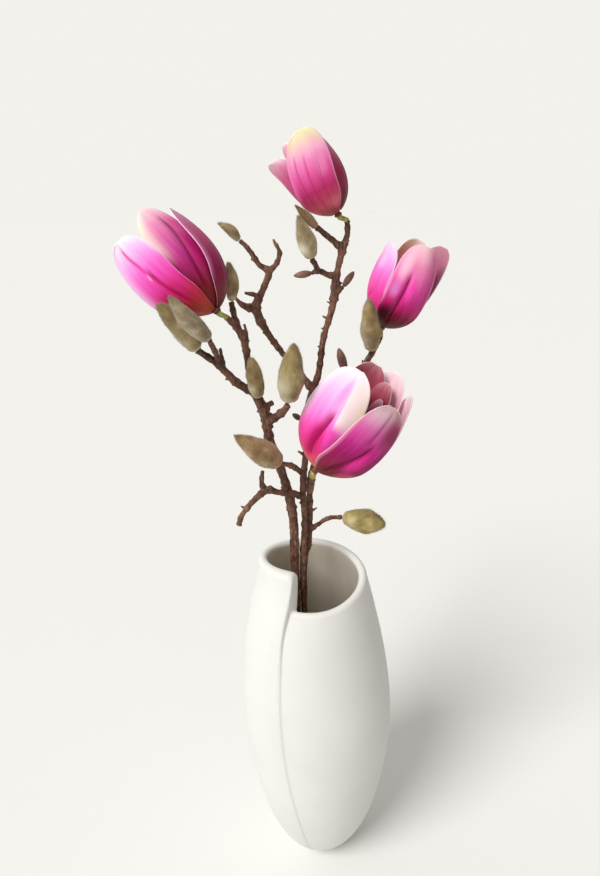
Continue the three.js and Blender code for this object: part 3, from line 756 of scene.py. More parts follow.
def fold_share(fold, across, along):
    """How strongly a fold shows at a place, from 0 to 1."""
    start, end, first, last, width, _ = fold
    centre = lerp(first, last, min(1, max(0, (along - start) / (end - start))))
    fading = smooth((along - start) / 0.12 + 0.5) * (1 - smooth((along - end) / 0.1 + 0.4))
    return math.exp(-(((across - centre) / width) ** 2)) * fading


def relief(shape, across, along):
    """How far the petal stands out from its cup, in millimetres."""
    fan = smooth(along / 0.2) * (1 - smooth((along - 0.5) / 0.45))
    height = shape.get("pleats", 0.12) * math.cos(10 * across + shape["turn"]) * fan
    for fold in shape.get("folds", []):
        height -= fold[5] * fold_share(fold, across, along)
    edge = max(0, abs(across) - 0.7) / 0.3
    return height + shape.get("curl", 0.5) * edge**2 * smooth((along - 0.15) / 0.5)


def petal_surface(shape, across, along):
    """A point of the finished petal: its cup, with the relief pushed outwards."""
    step = -0.001 if along > 0.5 else 0.001
    here = cup(shape, across, along)
    over_across = cup(shape, across + 0.001, along) - here
    over_along = (cup(shape, across, along + step) - here) * (1 if step > 0 else -1)
    outward = over_across.cross(over_along).normalized()
    return here + outward * relief(shape, across, along)


print("a fold is strongest on its line:", round(fold_share((0.1, 0.8, 0, 0, 0.1, 1), 0, 0.4), 2))

# %% [markdown]
# ### Petal colours
#
# The colour of a petal is painted in the same way as a silk flower is airbrushed: a gradient from the
# orange or crimson root over hot magenta to a nearly white tip, fine darker veins that run together at
# the root, soft clouds of other tones, and pale or cream edges. The dark line in the folds that show is
# painted shade. Some petals carry more painted shade on the side that turns from the light, and painted
# highlights where they face it. It all follows the petal's own UV map, U across and V from root to tip,
# so it stays with the petal from every side.

# %% Petal material
def patch_mask(tree, uv, patch):
    """A soft oval: patch starts with its centre across and along and its two half sizes."""
    across, along, wide, tall = patch[:4]
    settings = {"Vector": uv, "Location": (-across / wide, -along / tall, 0), "Scale": (1 / wide, 1 / tall, 0)}
    placed = add_node(tree, "ShaderNodeMapping", None, settings).outputs[0]
    away = add_node(tree, "ShaderNodeVectorMath", {"operation": "LENGTH"}, {0: placed}).outputs["Value"]
    return ease(tree, away, 1.0, 0.15)


def edge_mask(tree, across, along, edge):
    """The strip beside one edge: edge starts with its side, its width and where it starts and ends."""
    side, width, start, end = edge[:4]
    near = ease(tree, across, width, 0) if side == "left" else ease(tree, across, 1 - width, 1)
    low, high = ease(tree, along, start - 0.1, start + 0.1), ease(tree, along, end + 0.1, end - 0.1)
    return math_of(tree, "MULTIPLY", near, math_of(tree, "MULTIPLY", low, high))


def line_mask(tree, across, along, line):
    """A strip along a line: where it starts and ends, its places across there, its width and its sides."""
    start, end, first, last, width, sides = line[:6]
    middle = ease(tree, along, start, end, first, last)
    apart = math_of(tree, "SUBTRACT", across, middle)
    near = ease(tree, math_of(tree, "ABSOLUTE", apart), width, 0)
    if sides != "both":
        side = ease(tree, apart, 0.004, -0.012) if sides == "left" else ease(tree, apart, -0.004, 0.012)
        near = math_of(tree, "MULTIPLY", near, side)
    low, high = ease(tree, along, start - 0.06, start + 0.06), ease(tree, along, end + 0.05, end - 0.06)
    return math_of(tree, "MULTIPLY", near, math_of(tree, "MULTIPLY", low, high))


def petal_material(name, stops, veins="#A8186C", vein_strength=0.4, edges=(), patches=(), lines=()):
    """A petal's skin. Every edge, patch and line ends with its colour and its strength."""
    constants = {
        "Roughness": 0.5, "Specular IOR Level": 0.16, "Subsurface Weight": 0.08, "Subsurface Scale": 0.002,
    }
    material, tree, shader = new_material(name, constants)
    uv = add_node(tree, "ShaderNodeTexCoord").outputs["UV"]
    parts = add_node(tree, "ShaderNodeSeparateXYZ", None, {"Vector": uv}).outputs
    across, along = parts["X"], parts["Y"]
    drift = noise_of(
        tree,
        add_node(tree, "ShaderNodeMapping", None, {"Vector": uv, "Scale": (4, 1.6, 1)}).outputs[0],
        1.6, 3,
    )
    along_soft = math_of(tree, "MULTIPLY_ADD", math_of(tree, "SUBTRACT", drift, 0.5), 0.12, along)
    tone = ramp(tree, along_soft, stops)
    for *place, tint, strength in patches:
        tone = mix(tree, math_of(tree, "MULTIPLY", patch_mask(tree, uv, place), strength), tone, tint)
    for *place, tint, strength in edges:
        tone = mix(tree, math_of(tree, "MULTIPLY", edge_mask(tree, across, along, place), strength), tone, tint)
    fibres = add_node(tree, "ShaderNodeMapping", None, {"Vector": uv, "Scale": (22, 1.3, 1)}).outputs[0]
    fibre = noise_of(tree, fibres, 1.5, 4, 0.6)
    shown = math_of(tree, "MULTIPLY", ease(tree, along, 0.02, 0.25), ease(tree, along, 0.95, 0.45))
    share = math_of(tree, "MULTIPLY", ease(tree, fibre, 0.48, 0.72, 0, vein_strength), shown)
    tone = mix(tree, share, tone, veins)
    pale = math_of(tree, "MULTIPLY", ease(tree, fibre, 0.48, 0.3, 0, 0.07), shown)
    tone = mix(tree, pale, tone, "#FFC4EC")
    # Most lines are painted shade: a dark line in a fold, or a band of painted shade on one flank of it. A few
    # are pale or pink bands.
    for *place, tint, strength in lines:
        tone = mix(tree, math_of(tree, "MULTIPLY", line_mask(tree, across, along, place), strength), tone, tint)
    tree.links.new(tone, shader.inputs["Base Color"])
    tree.links.new(bump(tree, math_of(tree, "MULTIPLY", fibre, shown), 0.2, 0.0003), shader.inputs["Normal"])
    return material


rim_pale = petal_material(
    "petal_rim_pale", [(0, "#C9506A"), (0.2, "#F0A0C8"), (0.6, "#FBE0F2"), (1, "#FFF6FB")], vein_strength=0.05,
)
rim_dusky = petal_material(
    "petal_rim_dusky",
    [(0, "#7A2A40"), (0.25, "#B56A8C"), (0.7, "#D9AFC4"), (1, "#DCC3CC")],
    vein_strength=0.05,
)
skin_hidden = petal_material(
    "petal_skin_back",
    [(0, "#94342C"), (0.14, "#B42850"), (0.4, "#CC2E8C"), (0.7, "#E278C2"), (0.9, "#F2C0E4"), (1, "#FAE8F6")],
)
inside_crimson = petal_material(
    "petal_inside_crimson",
    [(0, "#5E0A1C"), (0.35, "#921C3C"), (0.7, "#B44C64"), (1, "#D8A8A8")],
    "#6E1028", 0.3,
)
inside_rose = petal_material(
    "petal_inside_rose", [(0, "#7E1A34"), (0.35, "#C04070"), (0.7, "#E08AB0"), (1, "#F3D2DE")], "#A02858", 0.3,
)
print("petal materials so far:", len([m for m in bpy.data.materials if m.name.startswith("petal")]))

# %% One petal
PETAL_THICKNESS = 0.9 * MM


def add_petal(name, node, shape, to_world, materials):
    """A petal from its shape and its materials for the outside, the inside and the rim."""
    sheet = add_primitive("grid", name, x_subdivisions=26, y_subdivisions=34, size=2)
    for vertex in sheet.data.vertices:
        across, along = vertex.co.x, (vertex.co.y + 1) / 2
        vertex.co = to_world @ (petal_surface(shape, across, along) * MM)
    for material in materials:
        sheet.data.materials.append(material)
    modify(sheet, "SOLIDIFY", thickness=PETAL_THICKNESS, offset=0, material_offset=1, material_offset_rim=2)
    subdivide(sheet, 1)
    hand_in(sheet, "petal", [node])


def flower_frame(base, aim):
    """The matrix from a flower's frame, in metres, to the world: Z along its axis and X facing the front."""
    axis = Vector(aim).normalized()
    forward = (FRONT - axis * FRONT.dot(axis)).normalized()
    side = axis.cross(forward)
    turn = Matrix((forward, side, axis)).transposed()
    return Matrix.Translation(mm(*base)) @ turn.to_4x4()


def add_flower(name, base, aim, petals):
    """All petals of a flower. Each is (shape, skin, inside, rim)."""
    to_world = flower_frame(base, aim)
    for number, (shape, *materials) in enumerate(petals, 1):
        add_petal(f"{name}_skin_{number}", f"{name}_petal_{number}", shape, to_world, materials)


print("a flower's frame:", flower_frame((0, 0, 0), (0, 0, 1)).to_3x3())

# %% [markdown]
# ### The left flower
#
# It opens to the upper left. Its nearest petal is lit hot pink, with a lilac white tip and one long fold
# that is broken by a little notch; the fold is darkened with painted shade and the notch holds a small
# painted highlight. The middle one is deep magenta with a cream edge and painted shade along its fold;
# the right one is in shade and dusky, with its skin painted darker as painted shade, and a thin pointed tip.

# %% Left flower
fold_near = [
    (0.66, 0.96, 0.04, -0.24, 0.09, 0.8), (0.2, 0.62, 0.3, 0.18, 0.09, 1.0), (0.15, 0.7, 0.55, 0.6, 0.07, 0.4),
]
skin_near = petal_material(
    "petal_left_near",
    [
        (0, "#84361E"), (0.09, "#B04638"), (0.2, "#CC343C"), (0.31, "#D82660"), (0.42, "#E62E8C"),
        (0.54, "#F44CB6"), (0.66, "#FA6CD2"), (0.78, "#FAA0EA"), (0.9, "#FBD4F6"), (1, "#FFFBFF"),
    ],
    "#C00E76", 0.4,
    edges=[
        ("left", 0.3, 0.34, 1, "#F8CBF6", 0.8), ("left", 0.16, 0.05, 0.3, "#FF4CCB", 0.6),
        ("right", 0.12, 0.74, 1, "#FCE8F6", 0.9),
    ],
    patches=[
        (0.68, 0.38, 0.25, 0.14, "#DC1E7C", 0.4), (0.62, 0.12, 0.4, 0.12, "#B4442C", 0.5),
        # Painted highlight: the small pale patch in the notch of the fold.
        (0.52, 0.6, 0.03, 0.05, "#FFC8EC", 0.7),
    ],
    # Painted shade: the dark lines in the two folds.
    lines=[
        (0.64, 0.94, 0.52, 0.39, 0.07, "both", "#DC2E9A", 0.85),
        (0.3, 0.64, 0.65, 0.58, 0.08, "both", "#BC0A60", 0.9),
    ],
)
fold_deep = [(0.2, 0.82, -0.04, 0.44, 0.13, 1.2), (0.15, 0.7, -0.45, -0.4, 0.08, 0.4)]
skin_deep = petal_material(
    "petal_left_middle",
    [
        (0, "#6E2A1C"), (0.14, "#7E221E"), (0.24, "#86142A"), (0.33, "#96184A"), (0.42, "#AA1E6A"),
        (0.52, "#C0348C"), (0.62, "#D0529E"), (0.72, "#DC6CAC"), (0.82, "#E48CB8"), (0.9, "#ECB4CA"),
        (1, "#F3DCDC"),
    ],
    "#8E1452", 0.4,
    edges=[("left", 0.4, 0.55, 1, "#F6EBDC", 0.95), ("left", 0.2, 0.84, 1, "#EEF0CE", 0.6)],
    patches=[(0.8, 0.5, 0.26, 0.3, "#B41668", 0.95), (0.84, 0.74, 0.2, 0.14, "#C84E8C", 0.8)],
    # Painted shade: the dark line in the fold and the band on its left flank.
    lines=[
        (0.2, 0.82, 0.47, 0.72, 0.07, "both", "#7E0638", 0.85),
        (0.3, 0.86, 0.52, 0.74, 0.2, "left", "#A42468", 0.35),
    ],
)
# Painted shade: this petal turns away from the light, so its whole skin is painted darker and duskier, and the
# line in its fold too.
skin_shade = petal_material(
    "petal_left_shade",
    [
        (0, "#4E1A1C"), (0.14, "#7E2C34"), (0.32, "#8C1E4C"), (0.52, "#A8386C"), (0.72, "#BC5484"),
        (0.88, "#C884A8"), (1, "#C9B3BC"),
    ],
    "#641844", 0.4,
    edges=[("right", 0.4, 0.3, 1, "#9C6484", 0.6), ("left", 0.14, 0.3, 0.95, "#DC86B8", 0.6)],
    lines=[(0.2, 0.8, 0.56, 0.55, 0.07, "both", "#6A1440", 0.5)],
)
add_flower(
    "flower_left", (-58, -27, 492), (-29, 14, 37),
    [
        (
            dict(
                whorl=OUTER, turn=-30, belly=29, tip=32.8, length=53, width=16, tuck=-1.8, swirl=6,
                folds=fold_near,
            ),
            skin_near, inside_rose, rim_pale,
        ),
        (
            dict(
                whorl=INNER, turn=34, belly=22.5, tip=9.3, length=67, width=13.5, swirl=-13, sharp=1.5,
                folds=fold_deep,
            ),
            skin_deep, inside_crimson, rim_pale,
        ),
        (
            dict(
                whorl=OUTER, turn=90, belly=24, tip=15.4, length=60, width=14.5, swirl=-3, sharp=1.7,
                folds=[(0.2, 0.8, 0.1, 0.1, 0.12, 0.6)],
            ),
            skin_shade, inside_crimson, rim_pale,
        ),
        (
            dict(
                whorl=OUTER, turn=-154, belly=23.5, tip=15, length=57, width=17, swirl=8,
                folds=[(0.15, 0.8, 0, 0, 0.12, 0.8)],
            ),
            skin_hidden, inside_rose, rim_pale,
        ),
        (
            dict(whorl=INNER, turn=150, belly=15, tip=5, length=54, width=14.5),
            skin_hidden, inside_crimson, rim_pale,
        ),
        (
            dict(whorl=HEARTMOST, turn=-80, belly=16, tip=6, length=58, width=13.5, swirl=3, foot=0.6),
            skin_hidden, inside_crimson, rim_pale,
        ),
    ],
)

# %% [markdown]
# ### The top flower
#
# It is still half closed. The petal in front has several long parallel folds, each darkened with painted
# shade, and a pale yellow tip; the one on the right turns away from the light and is plum, a tone that is
# painted shade on its skin; the one on the lower left peeps out, dark pink with a pale tip and painted
# shade in its fold.

# %% Top flower
fold_long = [
    (0.1, 0.85, -0.38, -0.62, 0.09, 0.6), (0.12, 0.8, 0.02, -0.2, 0.09, 0.5),
    (0.12, 0.7, 0.42, 0.36, 0.08, 0.5),
]
skin_long = petal_material(
    "petal_top_near",
    [
        (0, "#7A4030"), (0.1, "#9A4440"), (0.2, "#CA5868"), (0.3, "#C64466"), (0.4, "#C22E6A"),
        (0.5, "#DC4A90"), (0.6, "#EC62AA"), (0.7, "#F48AC2"), (0.8, "#F6B8D2"), (0.88, "#F0D2BE"),
        (0.95, "#EFE6BA"), (1, "#EFEBC0"),
    ],
    "#B42A70", 0.35,
    edges=[("left", 0.16, 0.3, 0.9, "#F08CC0", 0.5), ("right", 0.06, 0.2, 0.9, "#F6C2DE", 0.6)],
    patches=[(0.74, 0.62, 0.2, 0.16, "#EE92C4", 0.6), (0.82, 0.2, 0.22, 0.12, "#DC7C8C", 0.5)],
    # Painted shade: the dark lines in the three long folds.
    lines=[
        (0.12, 0.8, 0.31, 0.2, 0.04, "both", "#A8286C", 0.45),
        (0.12, 0.75, 0.51, 0.42, 0.04, "both", "#AC2A6C", 0.4),
        (0.12, 0.66, 0.71, 0.69, 0.03, "both", "#A8306C", 0.35),
    ],
)
# Painted shade: this petal turns away from the light, so its skin is painted dark plum, and the line in its
# fold darker still.
skin_plum_shaded = petal_material(
    "petal_top_plum_shaded",
    [
        (0, "#4A1A1C"), (0.2, "#702438"), (0.35, "#982E50"), (0.5, "#9A2E50"), (0.65, "#A44664"),
        (0.8, "#B4667C"), (1, "#C48E9C"),
    ],
    "#641838", 0.35, edges=[("left", 0.12, 0.2, 0.9, "#B8708C", 0.5)],
    lines=[(0.15, 0.8, 0.45, 0.45, 0.07, "both", "#6A1A38", 0.4)],
)
skin_open = petal_material(
    "petal_top_left",
    [
        (0, "#9E2438"), (0.2, "#B42456"), (0.45, "#C8387A"), (0.62, "#D64A88"), (0.76, "#DC6294"),
        (0.88, "#EA92B6"), (1, "#F6D6E2"),
    ],
    "#A82460", 0.4, edges=[("left", 0.14, 0.2, 1, "#CC6490", 0.6)],
    # Painted shade: the dark line in the fold.
    lines=[(0.15, 0.75, 0.62, 0.6, 0.06, "both", "#A02458", 0.5)],
)
add_flower(
    "flower_top", (20, 22, 544), (-21, 3, 44),
    [
        (
            dict(
                whorl=OUTER, turn=-32, belly=22.5, tip=18, length=48, width=15, tuck=-1.2, swirl=32,
                folds=fold_long,
            ),
            skin_long, inside_rose, rim_pale,
        ),
        (
            dict(
                whorl=MIDDLE, turn=80, belly=16.3, tip=9, length=44, width=16, swirl=4, foot=0.7,
                folds=[(0.15, 0.8, -0.1, -0.1, 0.12, 0.6)],
            ),
            skin_plum_shaded, inside_crimson, rim_dusky,
        ),
        (
            dict(
                whorl=MIDDLE, turn=-73, belly=18, tip=24.5, length=41, width=17, tuck=-2.8, swirl=2, foot=0.5,
                folds=[(0.15, 0.8, 0.25, 0.2, 0.1, 0.7)],
            ),
            skin_open, inside_rose, rim_pale,
        ),
        (
            dict(
                whorl=HEARTMOST, turn=-60, belly=13.5, tip=13, length=47, width=10, tuck=-0.5, swirl=-7,
                foot=0.4, folds=[(0.15, 0.8, 0, 0, 0.12, 0.7)],
            ),
            skin_open, inside_rose, rim_pale,
        ),
        (
            dict(whorl=CENTRE, turn=54, belly=11.3, tip=5, length=48, width=11, foot=0.5),
            skin_hidden, inside_crimson, rim_pale,
        ),
        (
            dict(whorl=INNER, turn=186, belly=14.8, tip=6, length=44, width=11, foot=0.6),
            skin_hidden, inside_crimson, rim_pale,
        ),
    ],
)

# %% [markdown]
# ### The right flower
#
# Its front petal is pressed in by one deep crease with a hot pink flank. The crease, the band on its left
# and the right third of the petal are darkened with painted shade, and a pale lilac band on the left of
# the petal is a painted highlight. The left petal goes from hot pink to pale lilac and has a small dimple,
# darkened with painted shade, the right one is dusky mauve with painted shade in its fold, and behind them
# the salmon inside of the back petal shows, painted paler than its own salmon as painted light.

# %% Right flower
fold_crease = [(0.2, 0.7, -0.3, -0.2, 0.11, 2.4), (0.2, 0.6, 0.4, 0.4, 0.1, 0.4)]
skin_creased = petal_material(
    "petal_right_near",
    [
        (0, "#4E1410"), (0.12, "#520A0E"), (0.22, "#5E0416"), (0.31, "#8A0C3C"), (0.4, "#C01A6C"),
        (0.5, "#D83292"), (0.6, "#EA4CAC"), (0.7, "#EC70B6"), (0.8, "#F08EBC"), (0.9, "#F6B6CC"),
        (1, "#F8D0D6"),
    ],
    "#96145C", 0.3,
    # Painted shade: the darker right third of the petal, the second edge here.
    edges=[
        ("left", 0.07, 0.4, 0.95, "#F2B4E0", 0.6), ("right", 0.44, 0.36, 1, "#A83C76", 0.85),
        ("right", 0.06, 0.4, 1, "#E49CBC", 0.7),
    ],
    # Painted highlight: the first two patches, pale and lilac on the left of the petal.
    patches=[
        (0.2, 0.8, 0.2, 0.24, "#FCC0DA", 0.95), (0.17, 0.55, 0.15, 0.13, "#DA82C6", 0.9),
        (0.52, 0.57, 0.1, 0.15, "#FA4EB6", 0.9), (0.2, 0.26, 0.3, 0.18, "#480012", 1.0),
    ],
    # Painted shade: the dark line in the crease and the band on its left flank.
    lines=[
        (0.28, 0.7, 0.35, 0.4, 0.05, "both", "#780440", 1.0),
        (0.3, 0.7, 0.36, 0.4, 0.14, "left", "#A42870", 0.6),
    ],
)
skin_lilac = petal_material(
    "petal_right_left",
    [
        (0, "#A00C48"), (0.14, "#D0187C"), (0.32, "#E82A8C"), (0.46, "#F044A4"), (0.58, "#F45EBC"),
        (0.7, "#F67CD4"), (0.82, "#F8A4E4"), (1, "#FBD8F2"),
    ],
    "#D01E88", 0.4,
    edges=[("right", 0.05, 0.15, 1, "#F8D0EC", 0.7), ("left", 0.2, 0.4, 0.95, "#F2A0E0", 0.4)],
    patches=[(0.62, 0.8, 0.2, 0.14, "#FBC2EE", 0.6)],
    # Painted shade: the first line darkens the small dimple.
    lines=[
        (0.36, 0.46, 0.56, 0.66, 0.08, "both", "#CC0E80", 0.75),
        (0.5, 0.9, 0.42, 0.45, 0.05, "both", "#E860BC", 0.4),
    ],
)
skin_mauve = petal_material(
    "petal_right_mauve",
    [(0, "#4E1028"), (0.25, "#6E1C42"), (0.5, "#8C385C"), (0.8, "#A25A74"), (1, "#B8808F")],
    "#561838", 0.4, edges=[("left", 0.2, 0.4, 1, "#B87890", 0.5)],
    # Painted shade: the dark line in the fold.
    lines=[(0.2, 0.8, 0.5, 0.5, 0.08, "both", "#581432", 0.5)],
)
# Painted light: this inside sits in the shade of the front petals, and is painted paler and brighter than its
# own salmon to stand in for the light that comes through them.
inside_salmon = petal_material(
    "petal_inside_salmon",
    [(0, "#C85858"), (0.4, "#F0A090"), (0.7, "#FFC4AE"), (0.9, "#FFD8C4"), (1, "#FFEEE2")],
    "#C06864", 0.3,
)
add_flower(
    "flower_right", (55.5, 30.5, 468), (22, -1.5, 48),
    [
        (
            dict(whorl=OUTER, turn=8, belly=26.3, tip=16.5, length=56, width=15, swirl=-8, folds=fold_crease),
            skin_creased, inside_rose, rim_pale,
        ),
        (
            dict(
                whorl=MIDDLE, turn=-85, belly=21.8, tip=20, length=49, width=17.5, swirl=11, foot=0.6,
                folds=[(0.38, 0.46, 0.12, 0.32, 0.1, 1.1)],
            ),
            skin_lilac, inside_rose, rim_pale,
        ),
        (
            dict(
                whorl=OUTER, turn=132, belly=20.5, tip=26, length=60, width=15,
                folds=[(0.2, 0.8, 0, 0, 0.12, 0.6)],
            ),
            skin_mauve, skin_mauve, rim_dusky,
        ),
        (
            dict(whorl=INNER, turn=187, belly=15, tip=11, length=58, width=15.5, swirl=-5, foot=0.6),
            skin_hidden, inside_salmon, rim_pale,
        ),
        (
            dict(whorl=CENTRE, turn=-42, belly=10.5, tip=6, length=50, width=9.5, foot=0.6),
            skin_hidden, inside_crimson, rim_pale,
        ),
        (
            dict(whorl=HEARTMOST, turn=62, belly=13.6, tip=8.5, length=56, width=11.5, foot=0.5),
            skin_hidden, inside_crimson, rim_pale,
        ),
    ],
)

# %% [markdown]
# ### The front flower
#
# The largest and most open one. Its left petal is nearly white at the tip, goes over lilac to hot
# magenta and ends orange at the root, with a cream field beside a short crease whose one flank is darkened
# with painted shade, and a bright lobe below it. The right petal is dusky, with a fold whose upper flank is
# darkened with painted shade and whose lower lip is bright magenta. Between them the crimson inside of
# the back petals shows.

# %% Front flower
fold_white = [(0.18, 0.64, 0.0, 0.28, 0.12, 2.3), (0.6, 0.95, 0.16, 0.2, 0.09, 0.4)]
skin_white = petal_material(
    "petal_front_left",
    [
        (0, "#EE9A7C"), (0.07, "#E87C6A"), (0.15, "#DC5468"), (0.25, "#DC3478"), (0.36, "#EA3A98"),
        (0.47, "#F458BC"), (0.58, "#FA82DA"), (0.68, "#FAA4E6"), (0.78, "#FABEEE"), (0.88, "#FBD6F4"),
        (0.95, "#FCEAF9"), (1, "#FFFFFF"),
    ],
    "#C0087A", 0.35,
    edges=[
        ("left", 0.3, 0.5, 1, "#FDF0FC", 0.9), ("left", 0.14, 0.24, 0.4, "#FBB8E2", 0.7),
        ("right", 0.44, 0.6, 1, "#FBE6E8", 1.0), ("right", 0.2, 0.5, 0.8, "#F4E2AE", 1.0),
    ],
    patches=[
        (0.58, 0.78, 0.12, 0.2, "#F894DA", 0.85), (0.71, 0.42, 0.08, 0.2, "#F64CB8", 1.0),
        (0.52, 0.39, 0.2, 0.2, "#CE0C72", 0.9), (0.5, 0.25, 0.2, 0.12, "#C62A50", 0.7),
    ],
    # Painted shade: the first line, a dark band on the left flank of the crease.
    lines=[
        (0.2, 0.63, 0.5, 0.64, 0.17, "left", "#AE0056", 1.0),
        (0.2, 0.56, 0.5, 0.63, 0.03, "right", "#E83494", 0.6),
        (0.56, 0.93, 0.69, 0.66, 0.42, "right", "#FCE8E2", 0.85),
    ],
)
fold_lip = [(0.22, 0.62, -0.2, 0.32, 0.12, 2.6), (0.6, 0.9, 0.0, 0.05, 0.1, 0.8)]
skin_lip = petal_material(
    "petal_front_right",
    [
        (0, "#864440"), (0.12, "#6C2628"), (0.23, "#78182C"), (0.36, "#8E144C"), (0.48, "#9C1260"),
        (0.58, "#B82480"), (0.68, "#D448A0"), (0.76, "#DC6CB0"), (0.84, "#E2A0C4"), (0.9, "#DEBAC8"),
        (0.96, "#D2AEB4"), (1, "#DCBCC2"),
    ],
    "#6C0C3C", 0.3,
    edges=[("left", 0.1, 0.16, 0.9, "#F09CBC", 0.7), ("right", 0.2, 0.36, 0.66, "#8A1C56", 0.8)],
    patches=[
        (0.86, 0.79, 0.42, 0.26, "#922A58", 0.95), (0.66, 0.46, 0.22, 0.24, "#DC2A92", 1.0),
        (0.84, 0.24, 0.32, 0.12, "#CE5C7C", 0.8),
    ],
    # Painted shade: the two dark lines in the folds; the first spreads over the upper flank of the main fold.
    lines=[
        (0.2, 0.64, 0.41, 0.66, 0.17, "left", "#66042E", 1.0),
        (0.62, 0.95, 0.5, 0.55, 0.08, "both", "#8C2256", 0.6),
    ],
)
skin_far = petal_material(
    "petal_front_far",
    [(0, "#6A1230"), (0.25, "#882048"), (0.5, "#9A3860"), (0.75, "#BC7490"), (1, "#D8A8B4")],
    "#6E1A40", 0.2, edges=[("left", 0.2, 0.4, 1, "#D8A0B4", 0.6)],
)
inside_pale = petal_material(
    "petal_inside_pale",
    [(0, "#5A0A20"), (0.45, "#944058"), (0.7, "#C47C92"), (0.88, "#ECC0CE"), (1, "#FAE8EE")],
    "#8A2444", 0.12,
)
skin_pink = petal_material(
    "petal_front_back",
    [(0, "#8A1836"), (0.3, "#A83458"), (0.6, "#C26A80"), (0.8, "#DCA4B4"), (1, "#F0D4DA")], "#8A2444", 0.15,
)
inside_deep = petal_material(
    "petal_inside_deep", [
        (0, "#38000E"), (0.35, "#540418"), (0.6, "#74102A"), (0.8, "#98304A"), (0.92, "#B05868"),
        (1, "#CC909A"),
    ], "#4E0418", 0.12,
)
inside_heart = petal_material(
    "petal_inside_heart",
    [(0, "#4A0818"), (0.5, "#782038"), (0.8, "#A04E62"), (0.93, "#BC7C8A"), (1, "#D8B0B6")],
    "#601024", 0.12,
)
add_flower(
    "flower_front", (5, -16.5, 379.5), (28, 6, 43),
    [
        (
            dict(
                whorl=INNER, turn=-42, belly=29.5, tip=20.5, length=70, width=23.5, tuck=-1, swirl=-2,
                sharp=1.15, folds=fold_white,
            ),
            skin_white, inside_rose, rim_pale,
        ),
        (
            dict(
                whorl=OUTER, turn=5, belly=38.2, tip=36, length=62, width=17, tuck=0.7, swirl=16, foot=0.3,
                folds=fold_lip,
            ),
            skin_lip, inside_deep, rim_pale,
        ),
        (
            dict(
                whorl=OUTER, turn=86.5, belly=35, tip=29, length=72, width=18, swirl=3, foot=0.5,
                folds=[(0.2, 0.8, 0, 0, 0.12, 0.6)],
            ),
            skin_far, inside_pale, rim_dusky,
        ),
        (
            dict(
                whorl=INNER, turn=174, belly=26, tip=14.8, length=78, width=17.5, swirl=3, foot=0.5,
                folds=[(0.2, 0.8, 0, 0, 0.15, 0.7)],
            ),
            skin_hidden, inside_deep, rim_pale,
        ),
        (
            dict(whorl=HEARTMOST, turn=-112, belly=21.5, tip=9, length=62, width=12.5, foot=0.5),
            skin_hidden, inside_rose, rim_pale,
        ),
        (
            dict(
                whorl=MIDDLE, turn=113, belly=29, tip=23, length=80.5, width=18, swirl=20, foot=0.42,
                folds=[(0.2, 0.8, 0, 0, 0.12, 0.6)],
            ),
            skin_pink, inside_pale, rim_pale,
        ),
        (
            dict(whorl=CENTRE, turn=112, belly=15.5, tip=15.5, length=59.5, width=9.5, swirl=-2, foot=0.5),
            skin_pink, inside_heart, rim_dusky,
        ),
        (
            dict(whorl=HEARTMOST, turn=120, belly=21.7, tip=16.5, length=71, width=13.4, swirl=6, foot=0.5),
            skin_pink, inside_deep, rim_dusky,
        ),
    ],
)

# %% [markdown]
# ## Hearts and stalks
#
# The petals close round a small brown seat on the end of the stalk. On it stands the seed cone with a
# ring of curved stamens, which only shows from above. A short stalk joins the seat to the twig: it is
# yellow green on the upper flowers and tan on the big one in front. Seat and cone are one turned
# profile, a rolled up grid like the vase, and each stamen is a thin cone that is bent round them.

# %% Heart and stalk materials
heart_brown, tree, shader = new_material("flower_seat_brown", {"Roughness": 0.6, "Specular IOR Level": 0.35})
mottle = noise_of(tree, object_place(tree), 350, 4, 0.6)
tree.links.new(
    ramp(tree, mottle, [(0.32, "#4A2A1A"), (0.5, "#74492E"), (0.68, "#9A7046")]), shader.inputs["Base Color"],
)
tree.links.new(bump(tree, mottle, 0.7, 0.0005), shader.inputs["Normal"])

stamen_cream, tree, shader = new_material(
    "stamen_cream", {"Roughness": 0.5, "Subsurface Weight": 0.1, "Subsurface Scale": 0.002},
)
place = object_place(tree)
tree.links.new(
    ramp(tree, noise_of(tree, place, 500, 3), [(0.35, "#B8586E"), (0.5, "#D9A08A"), (0.65, "#EAD8A8")]),
    shader.inputs["Base Color"],
)
tree.links.new(bump(tree, noise_of(tree, place, 1200, 2), 0.5, 0.0002), shader.inputs["Normal"])


def stalk_skin(name, tones):
    material, tree, shader = new_material(
        name,
        {"Roughness": 0.5, "Specular IOR Level": 0.4, "Subsurface Weight": 0.08, "Subsurface Scale": 0.002},
    )
    grain = noise_of(tree, object_place(tree, (1, 1, 0.3)), 800, 4)
    tree.links.new(ramp(tree, grain, list(zip((0.3, 0.5, 0.7), tones))), shader.inputs["Base Color"])
    tree.links.new(bump(tree, grain, 0.5, 0.0003), shader.inputs["Normal"])
    return material


stalk_green = stalk_skin("stalk_yellow_green", ("#83853C", "#ABA85C", "#C6C27E"))
stalk_tan = stalk_skin("stalk_tan", ("#8A7038", "#B49A5C", "#D0BC84"))
print("heart and stalk materials made")

# %% Heart and stalk of each flower
STAMENS, STAMEN_LENGTH = 16, 8 * MM
STALK_GRID = 16  # faces along the stalk and round it
SEAT_PROFILE = [
    (0.01, -6.6), (1.8, -6.6), (2.6, -6), (2.7, -5.2), (2, -4.3), (1.2, -2.7), (0.8, -0.8), (0.8, 2),
    (1.6, 4.5), (2.4, 6.5),
]


def roll_up(piece, rows, place_of):
    """Bends a grid into a closed turned shape: place_of(row share, angle) gives each place in metres."""
    for vertex in piece.data.vertices:
        vertex.co = place_of(round((vertex.co.y + 1) / 2 * rows) / rows, (vertex.co.x + 1) * math.pi)
    bpy.ops.object.mode_set(mode="EDIT")
    bpy.ops.mesh.select_all(action="SELECT")
    bpy.ops.mesh.remove_doubles(threshold=0.04 * MM)
    bpy.ops.object.mode_set(mode="OBJECT")


